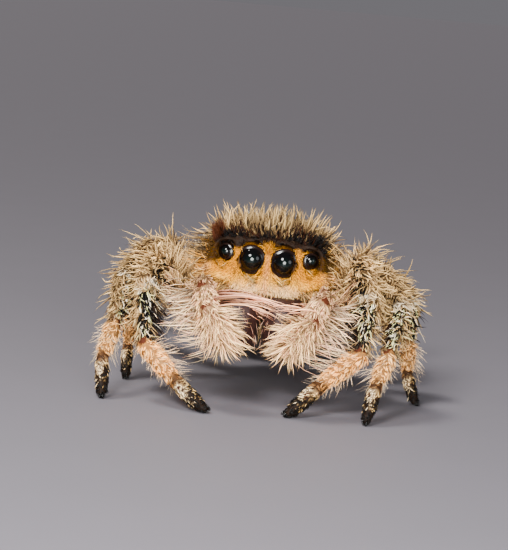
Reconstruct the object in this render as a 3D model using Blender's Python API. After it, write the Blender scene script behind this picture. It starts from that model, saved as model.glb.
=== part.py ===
"""A female regal jumping spider standing alert on a level floor, as a still life-size model.

Metres, +Z up, and she faces -Y, so her right side is at -X. The solids give the outline of the
coated body: each limb is one run of bones, parted at its joints by thin mitred cuts.
"""

import math

import bmesh
import bpy
from mathutils import Matrix, Vector

MM = 0.001
CUT = 0.06 * MM  # the gap that parts two neighbouring pieces

# Cephalothorax: distances from its own middle, which stands over the body's datum.
HEAD_LENGTH = 6.0 * MM
HEAD_TURN = Matrix.Rotation(math.radians(-2), 4, "Z") @ Matrix.Rotation(math.radians(1.7), 4, "Y")
HEAD_RINGS = 14
HEAD_SIDES = 22
HEAD_SQUARENESS = {"above": 3.3, "below": 2.5}  # of the widest line

# Abdomen and its stalk.
ABDOMEN_LENGTH = 7.7 * MM
ABDOMEN_WIDTH = 5.4 * MM
ABDOMEN_HEIGHT = 3.9 * MM
ABDOMEN_START = 3.52 * MM
ABDOMEN_LEVEL = 2.66 * MM
ABDOMEN_DROOP = math.radians(4)
STALK_RADIUS = 0.36 * MM

# Legs, front pair to rear pair: lengths of the five bones in mm.
BONES = ("femur", "patella", "tibia", "metatarsus", "tarsus")
BONE_LENGTHS = (
    (2.46, 1.17, 1.86, 1.72, 1.36),
    (2.57, 1.28, 1.92, 1.35, 1.26),
    (2.41, 1.01, 1.41, 1.31, 1.08),
    (2.48, 1.35, 2.04, 1.76, 1.22),
)
# Half depth in the leg's plane and half thickness across it, for the front pair, in mm.
BONE_DEPTHS = (0.64, 0.60, 0.55, 0.44, 0.30)
BONE_THICKNESSES = (0.43, 0.46, 0.44, 0.41, 0.28)
PAIR_BULK = (1.0, 0.90, 0.84, 0.90)
# Share of the full girth at the start, at a third, at two thirds and at the end of each bone.
BONE_TAPER = (
    (0.66, 1.02, 0.98, 0.82),
    (0.92, 1.02, 1.00, 0.92),
    (0.98, 1.02, 0.94, 0.80),
    (0.98, 1.04, 0.94, 0.78),
    (0.98, 1.04, 0.98, 0.72),
)
LEG_SIDES = 10
LEG_RINGS = 5

# Where each coxa ends, from the middle line, along the body and above the floor, in mm.
HIP_REACH = (1.78, 2.02, 2.00, 1.72)
HIP_STATIONS = (-1.62, -0.62, 0.42, 1.42)
HIP_LEVEL = 2.10

# The stance, as the heading and lift of each bone in degrees. A heading turns from straight out
# sideways towards the face, and a lift is up from level. The femur's lift isn't listed: it is
# whatever brings the toe down to the floor.
STANCE = {
    "leg1_right": (34, (74, -24), (99, -64), (138, -32), (149, -32)),
    "leg2_right": (23, (51, -35), (85, -40), (79, -42), (98, -60)),
    "leg3_right": (4, (31, -38), (122, -68), (90, -50), (94, -53)),
    "leg4_right": (-41, (-61, -22), (-75, -41), (-80, -39), (-79, -36)),
    "leg1_left": (42, (68, -36), (102, -60), (147, -34), (149, -39)),
    "leg2_left": (35, (62, -30), (102, -40), (110, -38), (112, -55)),
    "leg3_left": (-1, (36, -33), (87, -64), (91, -39), (64, -52)),
    "leg4_left": (-36, (-58, -24), (-73, -42), (-77, -41), (-75, -35)),
}

SOFT_GREY = (0.50, 0.42, 0.31)
TAN = (0.62, 0.42, 0.27)
BLACK = (0.02, 0.018, 0.02)
BRONZE = (0.10, 0.07, 0.06)
CREAM = (0.66, 0.50, 0.36)


def start_scene():
    """An empty scene with one collection for the spider and one for what cuts her."""
    for old in list(bpy.data.objects):
        bpy.data.objects.remove(old)
    made = []
    for name in ("jumping_spider", "cutters"):
        collection = bpy.data.collections.new(name)
        bpy.context.scene.collection.children.link(collection)
        made.append(collection)
    return made


def finish_of(name, colour, roughness=0.75, metallic=0.0):
    """A named Principled material, made once."""
    material = bpy.data.materials.get(name)
    if material is None:
        material = bpy.data.materials.new(name)
        material.use_nodes = True
        shader = material.node_tree.nodes["Principled BSDF"]
        shader.inputs["Base Color"].default_value = (*colour, 1.0)
        shader.inputs["Roughness"].default_value = roughness
        shader.inputs["Metallic"].default_value = metallic
    return material


def on_curve(stops, at):
    """The value at a place on a smooth curve through hand-set (place, value) stops."""
    last = len(stops) - 1
    i = max(k for k in range(last) if stops[k][0] <= at or k == 0)
    (x0, y0), (x1, y1) = stops[i], stops[i + 1]
    before = stops[max(i - 1, 0)]
    after = stops[min(i + 2, last)]
    slope0 = (y1 - before[1]) / (x1 - before[0])
    slope1 = (after[1] - y0) / (after[0] - x0)
    t = min(max((at - x0) / (x1 - x0), 0.0), 1.0)
    span = x1 - x0
    return (
        (2 * t**3 - 3 * t**2 + 1) * y0
        + (t**3 - 2 * t**2 + t) * span * slope0
        + (3 * t**2 - 2 * t**3) * y1
        + (t**3 - t**2) * span * slope1
    )


def rounded(angle, squareness):
    """A point on a unit superellipse."""
    c, s = math.cos(angle), math.sin(angle)
    power = 2 / squareness
    return math.copysign(abs(c) ** power, c), math.copysign(abs(s) ** power, s)


def loft(name, rings, material, collection, at=Vector()):
    """A closed solid through rings of points, its object standing at its own first joint."""
    bm = bmesh.new()
    rows = [[bm.verts.new(Vector(point) - at) for point in ring] for ring in rings]
    sides = len(rows[0])
    for low, high in zip(rows, rows[1:]):
        for k in range(sides):
            bm.faces.new((low[k], low[(k + 1) % sides], high[(k + 1) % sides], high[k]))
    bm.faces.new(rows[0][::-1])
    bm.faces.new(rows[-1])
    bmesh.ops.recalc_face_normals(bm, faces=bm.faces)
    return keep(name, bm, material, collection, at)


def keep(name, bm, material, collection, at=Vector()):
    """Makes an object of a bmesh and shades it smooth where it is round."""
    mesh = bpy.data.meshes.new(name)
    bm.to_mesh(mesh)
    bm.free()
    mesh.materials.append(material)
    mesh.shade_smooth()
    mesh.set_sharp_from_angle(angle=math.radians(50))
    made = bpy.data.objects.new(name, mesh)
    made.location = at
    collection.objects.link(made)
    return made


def ball(name, centre, radius, material, collection, around=16):
    """A sphere, as for an eye."""
    bm = bmesh.new()
    bmesh.ops.create_uvsphere(bm, u_segments=around, v_segments=around * 5 // 8, radius=radius)
    return keep(name, bm, material, collection, centre)


def boolean(target, other, operation):
    """Joins other to target or cuts it away, and drops other."""
    step = target.modifiers.new(operation.lower(), "BOOLEAN")
    step.operation = operation
    step.object = other
    step.solver = "EXACT"
    step.use_self = True
    bpy.context.view_layer.update()
    graph = bpy.context.evaluated_depsgraph_get()
    done = bpy.data.meshes.new_from_object(target.evaluated_get(graph))
    target.modifiers.clear()
    target.data = done
    bpy.data.objects.remove(other)


# ---- Cephalothorax -------------------------------------------------------------------------

# Half width, top, underside and level of the widest line, in mm, from face (0) to stalk (1).
HEAD_HALF_WIDTH = ((0.0, 1.78), (0.12, 1.90), (0.35, 2.12), (0.60, 2.30), (0.85, 1.96), (1.0, 1.25))
HEAD_TOP = ((0.0, 5.08), (0.10, 5.40), (0.36, 5.75), (0.62, 5.28), (0.85, 4.18), (1.0, 3.35))
HEAD_BASE = ((0.0, 3.08), (0.10, 2.94), (0.24, 1.92), (0.5, 1.80), (0.85, 1.90), (1.0, 2.30))
HEAD_WIDEST = ((0.0, 3.92), (0.4, 3.65), (0.8, 3.05), (1.0, 2.85))
# Size of the extra rings that round off the face and the rear, and how far they stand out, in mm.
FACE_ROUNDING = ((0.80, 0.16), (0.93, 0.10))
REAR_ROUNDING = (0.75, 0.10)

# A coxa starts inside, at these shares of its end's place, and is this thick along it, in mm.
COXA_INNER = (0.45, 0.75)
COXA_RISE = 0.15
COXA_GIRTHS = ((0.0, 0.50), (0.6, 0.50), (1.0, 0.42))


def head_point(along, angle, swell=1.0):
    """A point on the coated cephalothorax, along it from face to stalk and round it from +X up."""
    middle = on_curve(HEAD_WIDEST, along)
    x, z = rounded(angle, HEAD_SQUARENESS["above" if math.sin(angle) > 0 else "below"])
    reach = on_curve(HEAD_TOP if z > 0 else HEAD_BASE, along) - middle
    return Vector(
        (
            x * on_curve(HEAD_HALF_WIDTH, along) * swell * MM,
            (along - 0.5) * HEAD_LENGTH,
            (middle + abs(z) * reach * swell) * MM,
        )
    )


def head_ring(along, swell=1.0, slide=0.0):
    """One ring round the cephalothorax, drawn in and slid along for the rounded ends."""
    turn = 2 * math.pi / HEAD_SIDES
    return [head_point(along, k * turn, swell) + Vector((0, slide, 0)) for k in range(HEAD_SIDES)]


def build_cephalothorax(collection):
    """The head and thorax under one shield, with the eight coxae below."""
    grey = finish_of("grey_coat", SOFT_GREY)
    rings = [head_ring(0.0, swell, -out * MM) for swell, out in FACE_ROUNDING]
    rings += [head_ring(k / HEAD_RINGS) for k in range(HEAD_RINGS + 1)]
    rings.append(head_ring(1.0, REAR_ROUNDING[0], REAR_ROUNDING[1] * MM))
    rings = [[HEAD_TURN @ point for point in ring] for ring in rings]
    head = loft("cephalothorax", rings, grey, collection)
    for name in STANCE:
        hip = hip_of(name)
        inner = Vector((COXA_INNER[0] * hip.x, COXA_INNER[1] * hip.y, hip.z + COXA_RISE * MM))
        outward = (hip - inner).normalized()
        across = outward.cross(Vector((0, 0, 1))).normalized()
        rings = [
            oval(inner.lerp(hip, t), across, outward.cross(across), girth * MM, girth * MM)
            for t, girth in COXA_GIRTHS
        ]
        boolean(head, loft("coxa", rings, grey, collection), "UNION")
    return head


# ---- Eyes ----------------------------------------------------------------------------------

# Radius and place of the eyes of one side, in mm: across, along and up on the level head.
EYES = {
    "eye_front_middle": (0.39, (0.495, -2.92, 4.20)),
    "eye_front_side": (0.215, (1.27, -3.00, 4.36)),
    "eye_small": (0.10, (1.66, -1.86, 4.54)),
    "eye_rear": (0.22, (1.70, -0.66, 4.34)),
}
# The eyes on the head's side look out through a flared pit in the coat: the way each one faces.
PIT_FACINGS = {"eye_small": (0.86, -0.30, 0.42), "eye_rear": (0.94, -0.22, 0.26)}
PIT_LENGTH = 0.60 * MM
PIT_FLARE = 1.5
EYE_SIDES = {"eye_front_middle": 16, "eye_front_side": 10, "eye_small": 8, "eye_rear": 10}


def build_eyes(head, collection, cutters):
    """Eight glossy eyes, each in its own socket in the head."""
    black = finish_of("eye_black", BLACK, roughness=0.05)
    for name, (size, (x, y, z)) in EYES.items():
        radius = size * MM
        around = EYE_SIDES[name]
        for side, sign in (("right", -1), ("left", 1)):
            centre = HEAD_TURN @ Vector((sign * x * MM, y * MM, z * MM))
            boolean(head, ball("socket", centre, radius + CUT, black, cutters, around), "DIFFERENCE")
            if name in PIT_FACINGS:
                boolean(head, build_pit(name, sign, centre, radius + CUT, black, cutters), "DIFFERENCE")
            ball(f"{name}_{side}", centre, radius, black, collection, around)


def build_pit(name, sign, centre, radius, material, cutters):
    """What opens the coat in front of an eye on the head's side."""
    x, y, z = PIT_FACINGS[name]
    facing = (HEAD_TURN @ Vector((sign * x, y, z))).normalized()
    across = facing.cross(Vector((0, 0, 1))).normalized()
    up = across.cross(facing)
    rings = [
        oval(centre + facing * reach, across, up, wide, wide)
        for reach, wide in ((0.0, radius), (PIT_LENGTH, radius * PIT_FLARE))
    ]
    return loft("pit", rings, material, cutters)


# ---- Limbs ---------------------------------------------------------------------------------


def oval(centre, across, up, half_across, half_up, sides=LEG_SIDES):
    """A ring of points round centre in the plane of across and up."""
    turn = 2 * math.pi / sides
    return [
        centre + across * (half_across * math.cos(k * turn)) + up * (half_up * math.sin(k * turn))
        for k in range(sides)
    ]


def mitred(ring, centre, along, plane):
    """The ring slid along the bone until it lies in the plane through centre."""
    return [p - along * ((p - centre).dot(plane) / along.dot(plane)) for p in ring]


def build_bone(name, ends, planes, across, girths, material, collection, grow=0.0):
    """One bone of a limb from joint to joint, its two ends lying in the joints' mitre planes.

    girths holds (half thickness, half depth) at the start, each third and the end."""
    start, end = ends
    along = (end - start).normalized()
    across = (across - along * across.dot(along)).normalized()
    up = across.cross(along)
    start = start + along * (CUT / 2 - grow)
    end = end - along * (CUT / 2 - grow)
    rings = []
    for k in range(LEG_RINGS):
        t = k / (LEG_RINGS - 1)
        half_across, half_up = (
            on_curve([(j / 3, girth[i]) for j, girth in enumerate(girths)], t) + grow
            for i in range(2)
        )
        near = mitred(oval(start, across, up, half_across, half_up), start, along, planes[0])
        far = mitred(oval(end, across, up, half_across, half_up), end, along, planes[1])
        rings.append([a.lerp(b, t) for a, b in zip(near, far)])
    return loft(name, rings, material, collection, start)


def pair_of(name):
    """Which pair a leg belongs to, from 0 at the front."""
    return int(name[3]) - 1


def side_of(name):
    """-1 for a right leg and 1 for a left one."""
    return -1 if name.endswith("right") else 1


def hip_of(name):
    """Where a leg's coxa ends and its femur starts."""
    pair = pair_of(name)
    return Vector((side_of(name) * HIP_REACH[pair], HIP_STATIONS[pair], HIP_LEVEL)) * MM


def headed(side, heading, lift):
    """A unit direction out to one side, turned towards the face by heading and raised by lift."""
    h, e = math.radians(heading), math.radians(lift)
    return Vector((side * math.cos(h) * math.cos(e), -math.sin(h) * math.cos(e), math.sin(e)))


def leg_joints(name):
    """The six joints of a leg, from the end of its coxa to its toe on the floor."""
    heading, *lower = STANCE[name]
    lengths = BONE_LENGTHS[pair_of(name)]
    fall = sum(length * math.sin(math.radians(lift)) for length, (_, lift) in zip(lengths[1:], lower))
    rise = -HIP_LEVEL - fall
    ways = [(heading, math.degrees(math.asin(rise / lengths[0]))), *lower]
    joints = [hip_of(name)]
    for length, way in zip(lengths, ways):
        joints.append(joints[-1] + headed(side_of(name), *way) * length * MM)
    return joints


def joint_planes(joints):
    """The mitre plane's normal at each joint: square at the ends, halfway between two bones inside."""
    ways = [(b - a).normalized() for a, b in zip(joints, joints[1:])]
    inner = [(a + b).normalized() for a, b in zip(ways, ways[1:])]
    return [ways[0], *inner, ways[-1]]


def build_leg(name, collection, cutters):
    """The five bones of one leg. Returns a cutter that clears the femur from the body."""
    grey = finish_of("grey_coat", SOFT_GREY)
    tan = finish_of("tan_coat", TAN)
    joints = leg_joints(name)
    planes = joint_planes(joints)
    across = (joints[1] - joints[0]).cross(joints[-1] - joints[1]).normalized()
    bulk = PAIR_BULK[pair_of(name)] * MM
    for k, bone in enumerate(BONES):
        size = (BONE_THICKNESSES[k] * bulk, BONE_DEPTHS[k] * bulk)
        girths = [(size[0] * share, size[1] * share) for share in BONE_TAPER[k]]
        piece = f"{name}_{bone}"
        finish = tan if k > 2 else grey
        ends, sides = (joints[k], joints[k + 1]), (planes[k], planes[k + 1])
        made = build_bone(piece, ends, sides, across, girths, finish, collection)
        if k == 0:
            cutter = build_bone("clear", ends, sides, across, girths, finish, cutters, CUT)
    flatten_sole(made)
    return cutter


def flatten_sole(tarsus):
    """Cuts the tarsus level with the floor, which leaves the small flat that she stands on."""
    bm = bmesh.new()
    bm.from_mesh(tarsus.data)
    floor = -tarsus.location
    cut = bmesh.ops.bisect_plane(
        bm,
        geom=bm.verts[:] + bm.edges[:] + bm.faces[:],
        dist=MM * 1e-4,
        plane_co=floor,
        plane_no=(0, 0, 1),
        clear_inner=True,
    )
    rim = [e for e in cut["geom_cut"] if isinstance(e, bmesh.types.BMEdge)]
    bmesh.ops.holes_fill(bm, edges=rim)
    bmesh.ops.recalc_face_normals(bm, faces=bm.faces)
    bm.to_mesh(tarsus.data)
    bm.free()
    tarsus.data.shade_smooth()
    tarsus.data.set_sharp_from_angle(angle=math.radians(50))


# ---- Mouthparts ----------------------------------------------------------------------------

# Centre line and half widths (across, fore and aft) of one chelicera, in mm, from top to fang end.
CHELICERA = (
    ((0.65, -2.98, 3.16), (0.50, 0.42)),
    ((0.65, -3.14, 2.96), (0.61, 0.58)),
    ((0.65, -3.26, 2.40), (0.62, 0.62)),
    ((0.62, -3.30, 1.90), (0.56, 0.54)),
    ((0.57, -3.28, 1.55), (0.44, 0.42)),
    ((0.54, -3.26, 1.42), (0.26, 0.24)),
)

# Joints of one palp, in mm: where it leaves the head, its knee, its wrist and its tip.
PALP_JOINTS = ((1.72, -2.72, 2.36), (1.80, -4.05, 3.38), (1.50, -4.66, 2.75), (0.80, -4.95, 1.75))
PALP_BONES = ("femur", "tibia", "tarsus")
PALP_GIRTHS = (
    (0.30, 0.36, 0.42, 0.42),
    (0.46, 0.52, 0.56, 0.56),
    (0.60, 0.68, 0.64, 0.40),
)


def build_chelicera(name, sign, collection, grow=0.0):
    """One of the two stout jaws that hang below the face."""
    bronze = finish_of("jaw_bronze", BRONZE, roughness=0.3, metallic=0.4)
    rings = []
    for (x, y, z), (half_across, half_deep) in CHELICERA:
        centre = Vector((sign * x, y, z)) * MM
        wide, deep = half_across * MM + grow, half_deep * MM + grow
        ring = oval(centre, Vector((1, 0, 0)), Vector((0, 1, 0)), wide, deep, 12)
        rings.append([HEAD_TURN @ point for point in ring])
    if grow:
        rings[0] = [point + Vector((0, 0, grow)) for point in rings[0]]
    return loft(name, rings, bronze, collection, Vector(sum(rings[0], Vector())) / len(rings[0]))


def build_palp(side, sign, collection, cutters):
    """The three bones of a palp. Returns a cutter that clears its base from the head."""
    cream = finish_of("cream_coat", CREAM)
    joints = [HEAD_TURN @ (Vector((sign * x, y, z)) * MM) for x, y, z in PALP_JOINTS]
    planes = joint_planes(joints)
    across = Vector((1, 0, 0))
    for k, bone in enumerate(PALP_BONES):
        girths = [(girth * MM, girth * MM) for girth in PALP_GIRTHS[k]]
        ends, sides = (joints[k], joints[k + 1]), (planes[k], planes[k + 1])
        build_bone(f"palp_{side}_{bone}", ends, sides, across, girths, cream, collection)
        if k == 0:
            cutter = build_bone("clear", ends, sides, across, girths, cream, cutters, CUT)
    return cutter


# ---- Abdomen -------------------------------------------------------------------------------

ABDOMEN_OUTLINE = (
    (0.0, 0.26), (0.05, 0.55), (0.18, 0.84), (0.42, 1.0), (0.68, 0.90), (0.86, 0.63), (0.96, 0.36), (1.0, 0.20),
)
ABDOMEN_RINGS = 15
ABDOMEN_SIDES = 20
ABDOMEN_SQUARENESS = 2.15

# The spinnerets' base as (reach, radius), their places across and up, and each one's own
# (reach, radius) along the way that it points, all in mm.
SPINNERET_BASE = ((0.0, 0.42), (0.30, 0.36))
SPINNERET_PLACES = ((-0.20, 0.16), (0.20, 0.16), (-0.17, -0.16), (0.17, -0.16))
SPINNERET_STEPS = ((0.0, 0.17), (0.54, 0.15), (0.69, 0.07))
SPINNERET_START = 0.15
SPINNERET_SPLAY = 0.5


def build_abdomen(collection):
    """The egg-shaped abdomen, a little flat above and drooping to the rear, on its stalk."""
    grey = finish_of("grey_coat", SOFT_GREY)
    droop = Matrix.Rotation(-ABDOMEN_DROOP, 4, "X")
    start = Vector((0, ABDOMEN_START, ABDOMEN_LEVEL))
    turn = 2 * math.pi / ABDOMEN_SIDES

    def ring(along):
        size = on_curve(ABDOMEN_OUTLINE, along)
        points = []
        for k in range(ABDOMEN_SIDES):
            x, z = rounded(k * turn, ABDOMEN_SQUARENESS)
            place = Vector((x * size * ABDOMEN_WIDTH, 0, z * size * ABDOMEN_HEIGHT)) / 2
            points.append(start + droop @ (place + Vector((0, along * ABDOMEN_LENGTH, 0))))
        return points

    eased = [(1 - math.cos(math.pi * k / ABDOMEN_RINGS)) / 2 for k in range(ABDOMEN_RINGS + 1)]
    loft("abdomen", [ring(along) for along in eased], grey, collection, start)
    build_spinnerets(start + droop @ Vector((0, ABDOMEN_LENGTH + CUT, 0)), grey, collection)


def build_spinnerets(at, material, collection):
    """Two pairs of short spinnerets round one base, at the abdomen's tip."""
    across, up, rear = Vector((1, 0, 0)), Vector((0, 0, 1)), Vector((0, 1, 0))
    base = [
        oval(at + rear * (reach * MM), across, up, wide * MM, wide * MM, 12)
        for reach, wide in SPINNERET_BASE
    ]
    cluster = loft("spinnerets", base, material, collection, at)
    for x, z in SPINNERET_PLACES:
        foot = at + Vector((x, SPINNERET_START, z)) * MM
        way = Vector((x * SPINNERET_SPLAY, 1.0, z * SPINNERET_SPLAY))
        rings = [
            oval(foot + way * (reach * MM), across, up, wide * MM, wide * MM, 8)
            for reach, wide in SPINNERET_STEPS
        ]
        boolean(cluster, loft("spinneret", rings, material, collection), "UNION")


def build_stalk(collection):
    """The narrow stalk between head and abdomen, with a cut at each end."""
    bronze = finish_of("jaw_bronze", BRONZE, roughness=0.3, metallic=0.4)
    front = HEAD_LENGTH / 2 + REAR_ROUNDING[1] * MM + CUT
    level = ABDOMEN_LEVEL
    rings = [
        oval(Vector((0, y, level)), Vector((1, 0, 0)), Vector((0, 0, 1)), STALK_RADIUS, STALK_RADIUS)
        for y in (front, ABDOMEN_START - CUT)
    ]
    loft("stalk", rings, bronze, collection, Vector((0, front, level)))


# ---- The whole spider ----------------------------------------------------------------------


def centre_over_datum(collection):
    """Parents every piece to a frame that brings the middle of the spider's box over the datum."""
    bpy.context.view_layer.update()
    corners = [o.matrix_world @ v.co for o in collection.objects for v in o.data.vertices]
    middle = [(min(c[i] for c in corners) + max(c[i] for c in corners)) / 2 for i in range(2)]
    frame = bpy.data.objects.new("spider_frame", None)
    for piece in collection.objects:
        piece.parent = frame
    frame.location = (-middle[0], -middle[1], 0)
    collection.objects.link(frame)
    bpy.context.view_layer.update()


def main():
    spider, cutters = start_scene()
    head = build_cephalothorax(spider)
    clear = [build_leg(name, spider, cutters) for name in STANCE]
    for side, sign in (("right", -1), ("left", 1)):
        build_chelicera(f"chelicera_{side}", sign, spider)
        clear.append(build_chelicera("clear", sign, cutters, CUT))
        clear.append(build_palp(side, sign, spider, cutters))
    for cutter in clear:
        boolean(head, cutter, "DIFFERENCE")
    build_eyes(head, spider, cutters)
    build_stalk(spider)
    build_abdomen(spider)
    centre_over_datum(spider)


main()
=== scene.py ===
import math
import bmesh
import bpy
import numpy as np
from mathutils import Matrix, Vector
from mathutils.bvhtree import BVHTree
from mathutils.kdtree import KDTree


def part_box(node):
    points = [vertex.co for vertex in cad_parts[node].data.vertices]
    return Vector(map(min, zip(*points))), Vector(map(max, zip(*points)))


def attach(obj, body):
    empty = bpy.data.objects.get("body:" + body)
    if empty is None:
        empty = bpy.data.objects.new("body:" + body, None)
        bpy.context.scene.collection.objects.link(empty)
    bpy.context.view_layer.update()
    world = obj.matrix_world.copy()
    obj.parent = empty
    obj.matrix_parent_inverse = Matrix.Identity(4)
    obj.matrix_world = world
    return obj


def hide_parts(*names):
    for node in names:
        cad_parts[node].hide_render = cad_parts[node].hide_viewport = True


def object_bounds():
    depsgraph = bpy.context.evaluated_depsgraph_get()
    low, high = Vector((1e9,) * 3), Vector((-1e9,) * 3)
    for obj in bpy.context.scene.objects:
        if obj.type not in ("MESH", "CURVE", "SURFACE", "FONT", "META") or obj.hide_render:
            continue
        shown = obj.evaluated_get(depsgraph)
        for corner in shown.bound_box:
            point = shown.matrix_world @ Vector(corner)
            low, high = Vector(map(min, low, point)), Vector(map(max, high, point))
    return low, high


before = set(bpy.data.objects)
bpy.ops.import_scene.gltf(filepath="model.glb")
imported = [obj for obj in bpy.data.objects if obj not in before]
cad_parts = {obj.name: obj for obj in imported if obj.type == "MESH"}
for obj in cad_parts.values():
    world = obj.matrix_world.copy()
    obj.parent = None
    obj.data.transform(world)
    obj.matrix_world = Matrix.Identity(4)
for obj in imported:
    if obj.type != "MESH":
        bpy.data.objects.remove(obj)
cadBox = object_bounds()

# Shapes are worked out in millimetres and made in metres. The spider faces -Y, and its right is -X.
mm = 0.001
sideSigns = {"right": -1, "left": 1}
eyeNames = ("front_middle", "front_side", "small", "rear")
legBones = ("femur", "patella", "tibia", "metatarsus", "tarsus")
palpBones = ("femur", "tibia", "tarsus")


# Small helpers for rows of points

def unit(rows):
    return rows / np.maximum(np.linalg.norm(rows, axis=-1, keepdims=True), 1e-9)


def dot(first, second):
    return (first * second).sum(-1)


def ease(low, high, x):  # 0 below low, 1 above high, smooth between
    t = np.clip((x - low) / (high - low), 0, 1)
    return t * t * (3 - 2 * t)


def hump(x, middle, reach):  # 1 at the middle, 0 further away than reach
    return 1 - ease(0, 1, np.abs(x - middle) / reach)


def blend(first, second, share):
    return first + (second - first) * share[:, None]


def ripple(points, size, seed=0.0):  # smooth unevenness from -1 to 1, with lumps about size across
    x, y, z = (points * (2.4 / size) + seed * 7.3).T
    wave = np.sin(x + 1.7 * np.sin(y * 0.8)) * np.cos(y + 1.3 * np.sin(z * 0.9))
    return 0.6 * wave + 0.4 * np.sin(1.9 * z + 2.1 * np.sin(x * 1.3 + y))


def linear(red, green, blue):  # a painter's 0 to 255 to the linear light that shaders use
    shares = np.array((red, green, blue)) / 255
    return np.where(shares < 0.04045, shares / 12.92, ((shares + 0.055) / 1.055) ** 2.4)


def newObject(name, data):
    made = bpy.data.objects.new(name, data)
    bpy.context.scene.collection.objects.link(made)
    return made


# The frame: nodes, eyes and limbs

def meshRows(mesh):  # points and faces as plain rows; the mesh is let go
    points = np.array([v.co[:] for v in mesh.verts])
    faces = [[v.index for v in face.verts] for face in mesh.faces]
    mesh.free()
    return points, faces


def weldedNode(name):
    mesh = bmesh.new()
    mesh.from_mesh(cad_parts[name].data)
    bmesh.ops.remove_doubles(mesh, verts=mesh.verts, dist=1e-7)
    mesh.normal_update()
    mesh.verts.index_update()
    normals = np.array([v.normal[:] for v in mesh.verts])
    points, faces = meshRows(mesh)
    return points / mm, normals, faces


def boxOf(name):  # a node's low and high corners, mm
    return [np.array(corner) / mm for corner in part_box(name)]


def eyeAt(name, side):
    low, high = boxOf(f"eye_{name}_{side}")
    return (low + high) / 2, (high - low).max() / 2


def meeting(first, second):  # the middle of the two caps that face each other at a joint
    reach = 0.1
    gaps = np.linalg.norm(first[:, None] - second[None], axis=2)
    near = gaps.min() + reach
    return np.concatenate((first[gaps.min(1) < near], second[gaps.min(0) < near])).mean(0)


def farCap(points, origin):  # the middle of the cap furthest from origin
    capShare = 0.2
    along = dot(points - origin, unit(points.mean(0) - origin))
    return points[np.argsort(along)[-int(len(points) * capShare):]].mean(0)


def limbJoints(names):
    bones = [weldedNode(name)[0] for name in names]
    inner = [meeting(a, b) for a, b in zip(bones, bones[1:])]
    return np.array([farCap(bones[0], inner[0]), *inner, farCap(bones[-1], inner[-1])])


def limbBones(limb, names, side):
    joints = limbJoints([f"{limb}_{bone}" for bone in names])
    axes = unit(np.diff(joints, axis=0))
    bends = unit(axes[:-1] - axes[1:])  # out of each bend, away from the body
    total = np.linalg.norm(np.diff(joints, axis=0), axis=1).cumsum()
    made = []
    for i, bone in enumerate(names):
        outward = bends[max(i - 1, 0)] + bends[min(i, len(bends) - 1)] + np.array((0, 0, 0.3))
        back = unit(outward - dot(outward, axes[i]) * axes[i])
        length = np.linalg.norm(joints[i + 1] - joints[i])
        made.append({
            "node": f"{limb}_{bone}", "limb": limb, "bone": bone,
            "start": joints[i], "end": joints[i + 1], "axis": axes[i], "back": back,
            "front": np.cross(axes[i], back) * sideSigns[side],
            "length": length, "before": total[i] - length,
        })
    return made


eyes = {(name, side): eyeAt(name, side) for name in eyeNames for side in sideSigns}
legs = [f"leg{pair}_{side}" for pair in range(1, 5) for side in sideSigns]
palps = [f"palp_{side}" for side in sideSigns]
frontLegs = ("leg1_right", "leg1_left")
bones = []
for limbs, names in ((legs, legBones), (palps, palpBones)):
    for limb in limbs:
        bones += limbBones(limb, names, limb.split("_")[1])
boneOf = {bone["node"]: i for i, bone in enumerate(bones)}
boneRows = {key: np.array([bone[key] for bone in bones]) for key in bones[0]}
boneLimb = boneRows["limb"]
boneKind = boneRows["bone"]

# The head's own directions, from its two big eyes
faceMiddle = (eyes["front_middle", "right"][0] + eyes["front_middle", "left"][0]) / 2
headAcross = unit(eyes["front_middle", "left"][0] - eyes["front_middle", "right"][0])
headUp = unit(np.array((0, 0, 1)) - headAcross[2] * headAcross)
headBack = np.cross(headUp, headAcross)
print("frame read:", len(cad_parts), "nodes,", len(bones), "limb bones")


def headPlace(points):  # across to its left, up, and back, in mm from between the big eyes
    away = points - faceMiddle
    return dot(away, headAcross), dot(away, headUp), dot(away, headBack)


def bonePlace(points, index):  # share along the bone, and degrees round it: 0 its back, 90 its front
    away = points - boneRows["start"][index]
    share = dot(away, boneRows["axis"][index]) / boneRows["length"][index]
    turn = np.arctan2(dot(away, boneRows["front"][index]), dot(away, boneRows["back"][index]))
    return share, np.degrees(turn)


# The skin: every node of flesh drawn in by the coat's depth, fused and smoothed

skinLook = {
    "voxel": 0.075,        # mm
    "smoothing": 5,        # rounds
    "limbDepth": {"femur": 0.24, "patella": 0.22, "tibia": 0.20, "metatarsus": 0.13, "tarsus": 0.05},
    "palpDepth": {"femur": 0.14, "tibia": 0.24, "tarsus": 0.30},
    "limbCore": 0.35,      # least share of a limb's thickness that is left
    "faceDepth": 0.10,
    "crownDepth": 0.62,
    "cheekDepth": 0.24,
    "bellyDepth": 0.16,
    "abdomenDepth": 0.26,
    "smallDepth": 0.06,    # stalk and spinnerets
    "knuckle": 1.04,       # ball at each joint against the bone beside it
    "stalkBall": 0.32,     # mm, one past each end of the stalk
    "stalkPast": (0.10, 0.15),
}


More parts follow.
